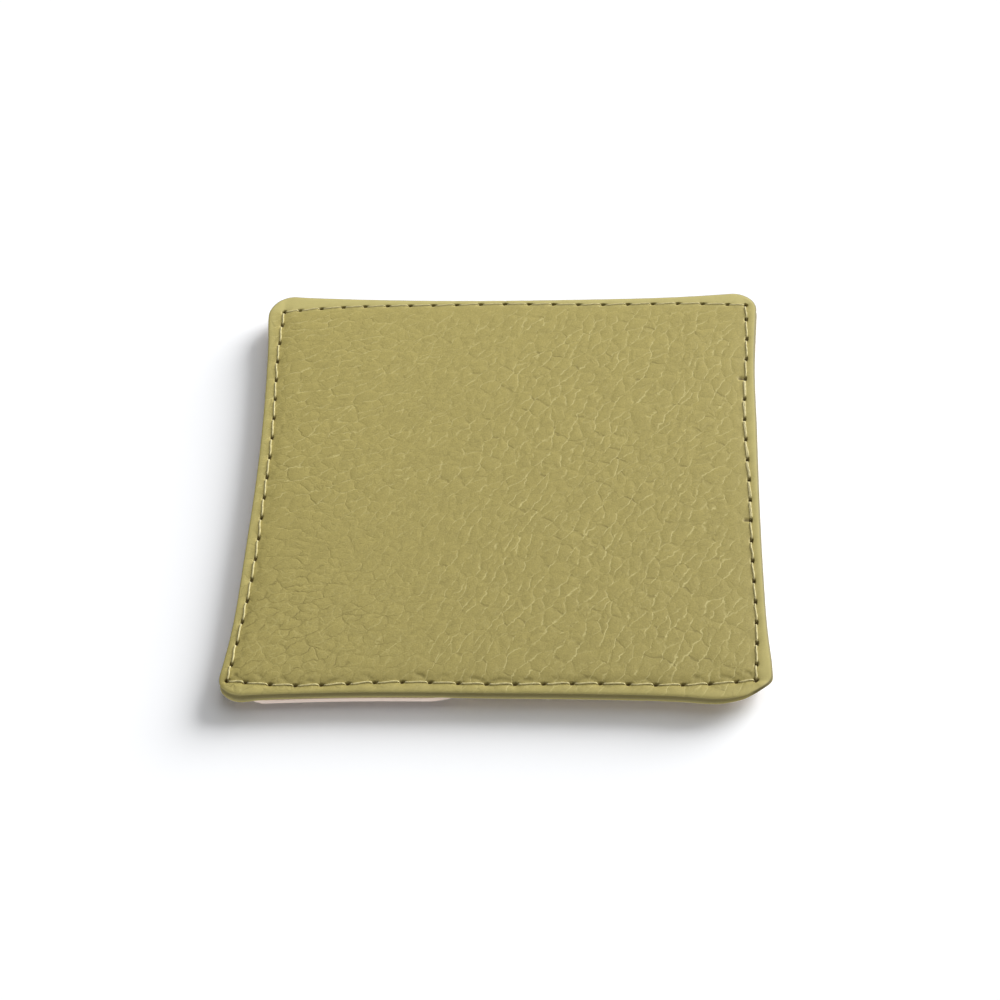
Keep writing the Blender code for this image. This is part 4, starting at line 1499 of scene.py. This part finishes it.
@dataclass
class PhotoCamera:
    """Camera at the photograph's viewing angle, matched to the seam's needle holes."""

    lens: float = 79.04
    sensor: float = 36.0
    elevation: float = 51.367
    yaw: float = -6.978
    roll: float = 5.731
    distance: float = 415.2
    aim: tuple[float, float] = (-0.621, -0.598)

    def build(self) -> None:
        """Builds the camera and makes it the scene's own."""
        elevation, roll = math.radians(self.elevation), math.radians(self.roll)
        right = Vector((1, 0, 0))
        back = Vector((0, -math.cos(elevation), math.sin(elevation)))
        up = back.cross(right)
        turned_right = right * math.cos(roll) - up * math.sin(roll)
        turned_up = right * math.sin(roll) + up * math.cos(roll)
        axes = Matrix((turned_right, turned_up, back)).transposed().to_4x4()
        place = Matrix.Translation(back * self.distance * MM)
        turn = Matrix.Rotation(-math.radians(self.yaw), 4, "Z")
        shift = Matrix.Translation(Vector((*self.aim, 0)) * MM)
        data = bpy.data.cameras.new("photo_camera")
        data.lens = self.lens
        data.sensor_width = self.sensor
        camera = bpy.data.objects.new("photo_camera", data)
        camera.matrix_world = shift @ turn @ place @ axes
        bpy.context.scene.collection.objects.link(camera)
        bpy.context.scene.camera = camera


OLIVE_THREAD = TwistedThread("bonded_polyester_thread", "C0B57F", 0.6)
# Room over the board, and where the two threads lock: over the fold's underside and over the lining
BOARD_EASE = 0.12
NEEDLE_LOCK = 0.6
BOBBIN_LOCK = 0.7


def report(piece: bpy.types.Object) -> None:
    """Logs a finished piece."""
    log.info("%s: %d faces in %s", piece.name, len(piece.data.polygons), piece.data.materials[0].name)


def box_mm(node: str) -> tuple[np.ndarray, np.ndarray]:
    """Lowest and highest corner of a CAD node in millimetres."""
    low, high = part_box(node)
    return np.array(low) / MM, np.array(high) / MM


def build_front() -> HolderPlan:
    """Builds the cover and the thread on it.

    Returns:
        The plan that the other pieces share.
    """
    low, high = box_mm("front_cover")
    board_top = box_mm("stiffener_board")[1][2]
    plan = HolderPlan(width=high[0] - low[0], depth=high[1] - low[1])
    relief = CoverRelief(plan, top=high[2])
    leather = PebbledLeather("milled_cowhide", "A79A58", 0.6)
    cover = Cover(plan, relief, leather, bottom=low[2], slot_top=board_top + BOARD_EASE,
                  slot_bottom=board_top)
    piece = cover.build()
    cover.dress(piece)
    report(piece)
    thread = RimThread("needle_stitches", "needle_thread", plan, OLIVE_THREAD, Face.COVER,
                       lock=low[2] + NEEDLE_LOCK)
    piece = thread.build(relief.heights)
    thread.dress(piece)
    report(piece)
    return plan


def build_back(plan: HolderPlan) -> None:
    """Builds the lining, the three pockets and the thread under them.

    Args:
        plan: the holder's plan
    """
    calf = SmoothLeather("plated_split_calf", "EAD8CC", 0.62)
    cloth = WovenLining("polyester_lining", "E6D2C4", 0.75)
    boxes = {node: box_mm(node) for node in ("back_lining", "top_pocket", "middle_pocket", "front_pocket")}
    rim = boxes["top_pocket"][0][2]
    skin = boxes["top_pocket"][1][2] - rim
    # The front pocket and the lining are drawn thick enough to lie on one another where their edges show
    lining_low, lining_high = (corner[2] for corner in boxes["back_lining"])
    front = WholeSheet("front_pocket_leather", "front_pocket", "blush_leather", plan, calf,
                       bottom=boxes["front_pocket"][0][2], rim_bottom=rim, thickness=lining_low - rim,
                       mouth=boxes["front_pocket"][1][1])
    middle = TonguePocket("middle_pocket_leather", "middle_pocket", "blush_leather", plan, calf,
                          bottom=boxes["middle_pocket"][0][2], rim_bottom=rim, thickness=skin,
                          mouth=boxes["middle_pocket"][1][1])
    top = TonguePocket("top_pocket_leather", "top_pocket", "blush_leather", plan, calf,
                       bottom=rim, rim_bottom=rim, thickness=skin, mouth=boxes["top_pocket"][1][1])
    lining = WholeSheet("lining_cloth", "back_lining", "blush_lining", plan, cloth,
                        bottom=lining_low, rim_bottom=lining_low,
                        thickness=box_mm("front_cover")[0][2] - lining_low)
    under = []
    for sheet in (front, middle, top, lining):
        piece = sheet.build()
        sheet.dress(piece, under)
        report(piece)
        under = [piece.name]

    def underside(points: np.ndarray) -> np.ndarray:
        """Height of the lowest sheet in the rim at plan points."""
        return np.where(points[:, 1] < top.mouth, rim, lining_low) + plan.near_lift * plan.lifted(points)

    thread = RimThread("bobbin_stitches", "bobbin_thread", plan, OLIVE_THREAD, Face.POCKETS,
                       lock=lining_high + BOBBIN_LOCK, beds=(0.8,) * len(Side), arches=(0.1,) * len(Side))
    piece = thread.build(underside)
    thread.dress(piece)
    report(piece)


def main() -> None:
    """Builds the holder's pieces in order, then the studio and the camera."""
    logging.basicConfig(level=logging.INFO, format="%(message)s")
    plan = build_front()
    build_back(plan)
    InnerParts(KraftBoard("kraft_fibre_board", "B09470", 0.85),
               TwistedThread("fine_polyester_thread", "E2D2C6", 0.55)).dress()
    Studio().build()
    PhotoCamera().build()


if __name__ == "__main__":
    main()
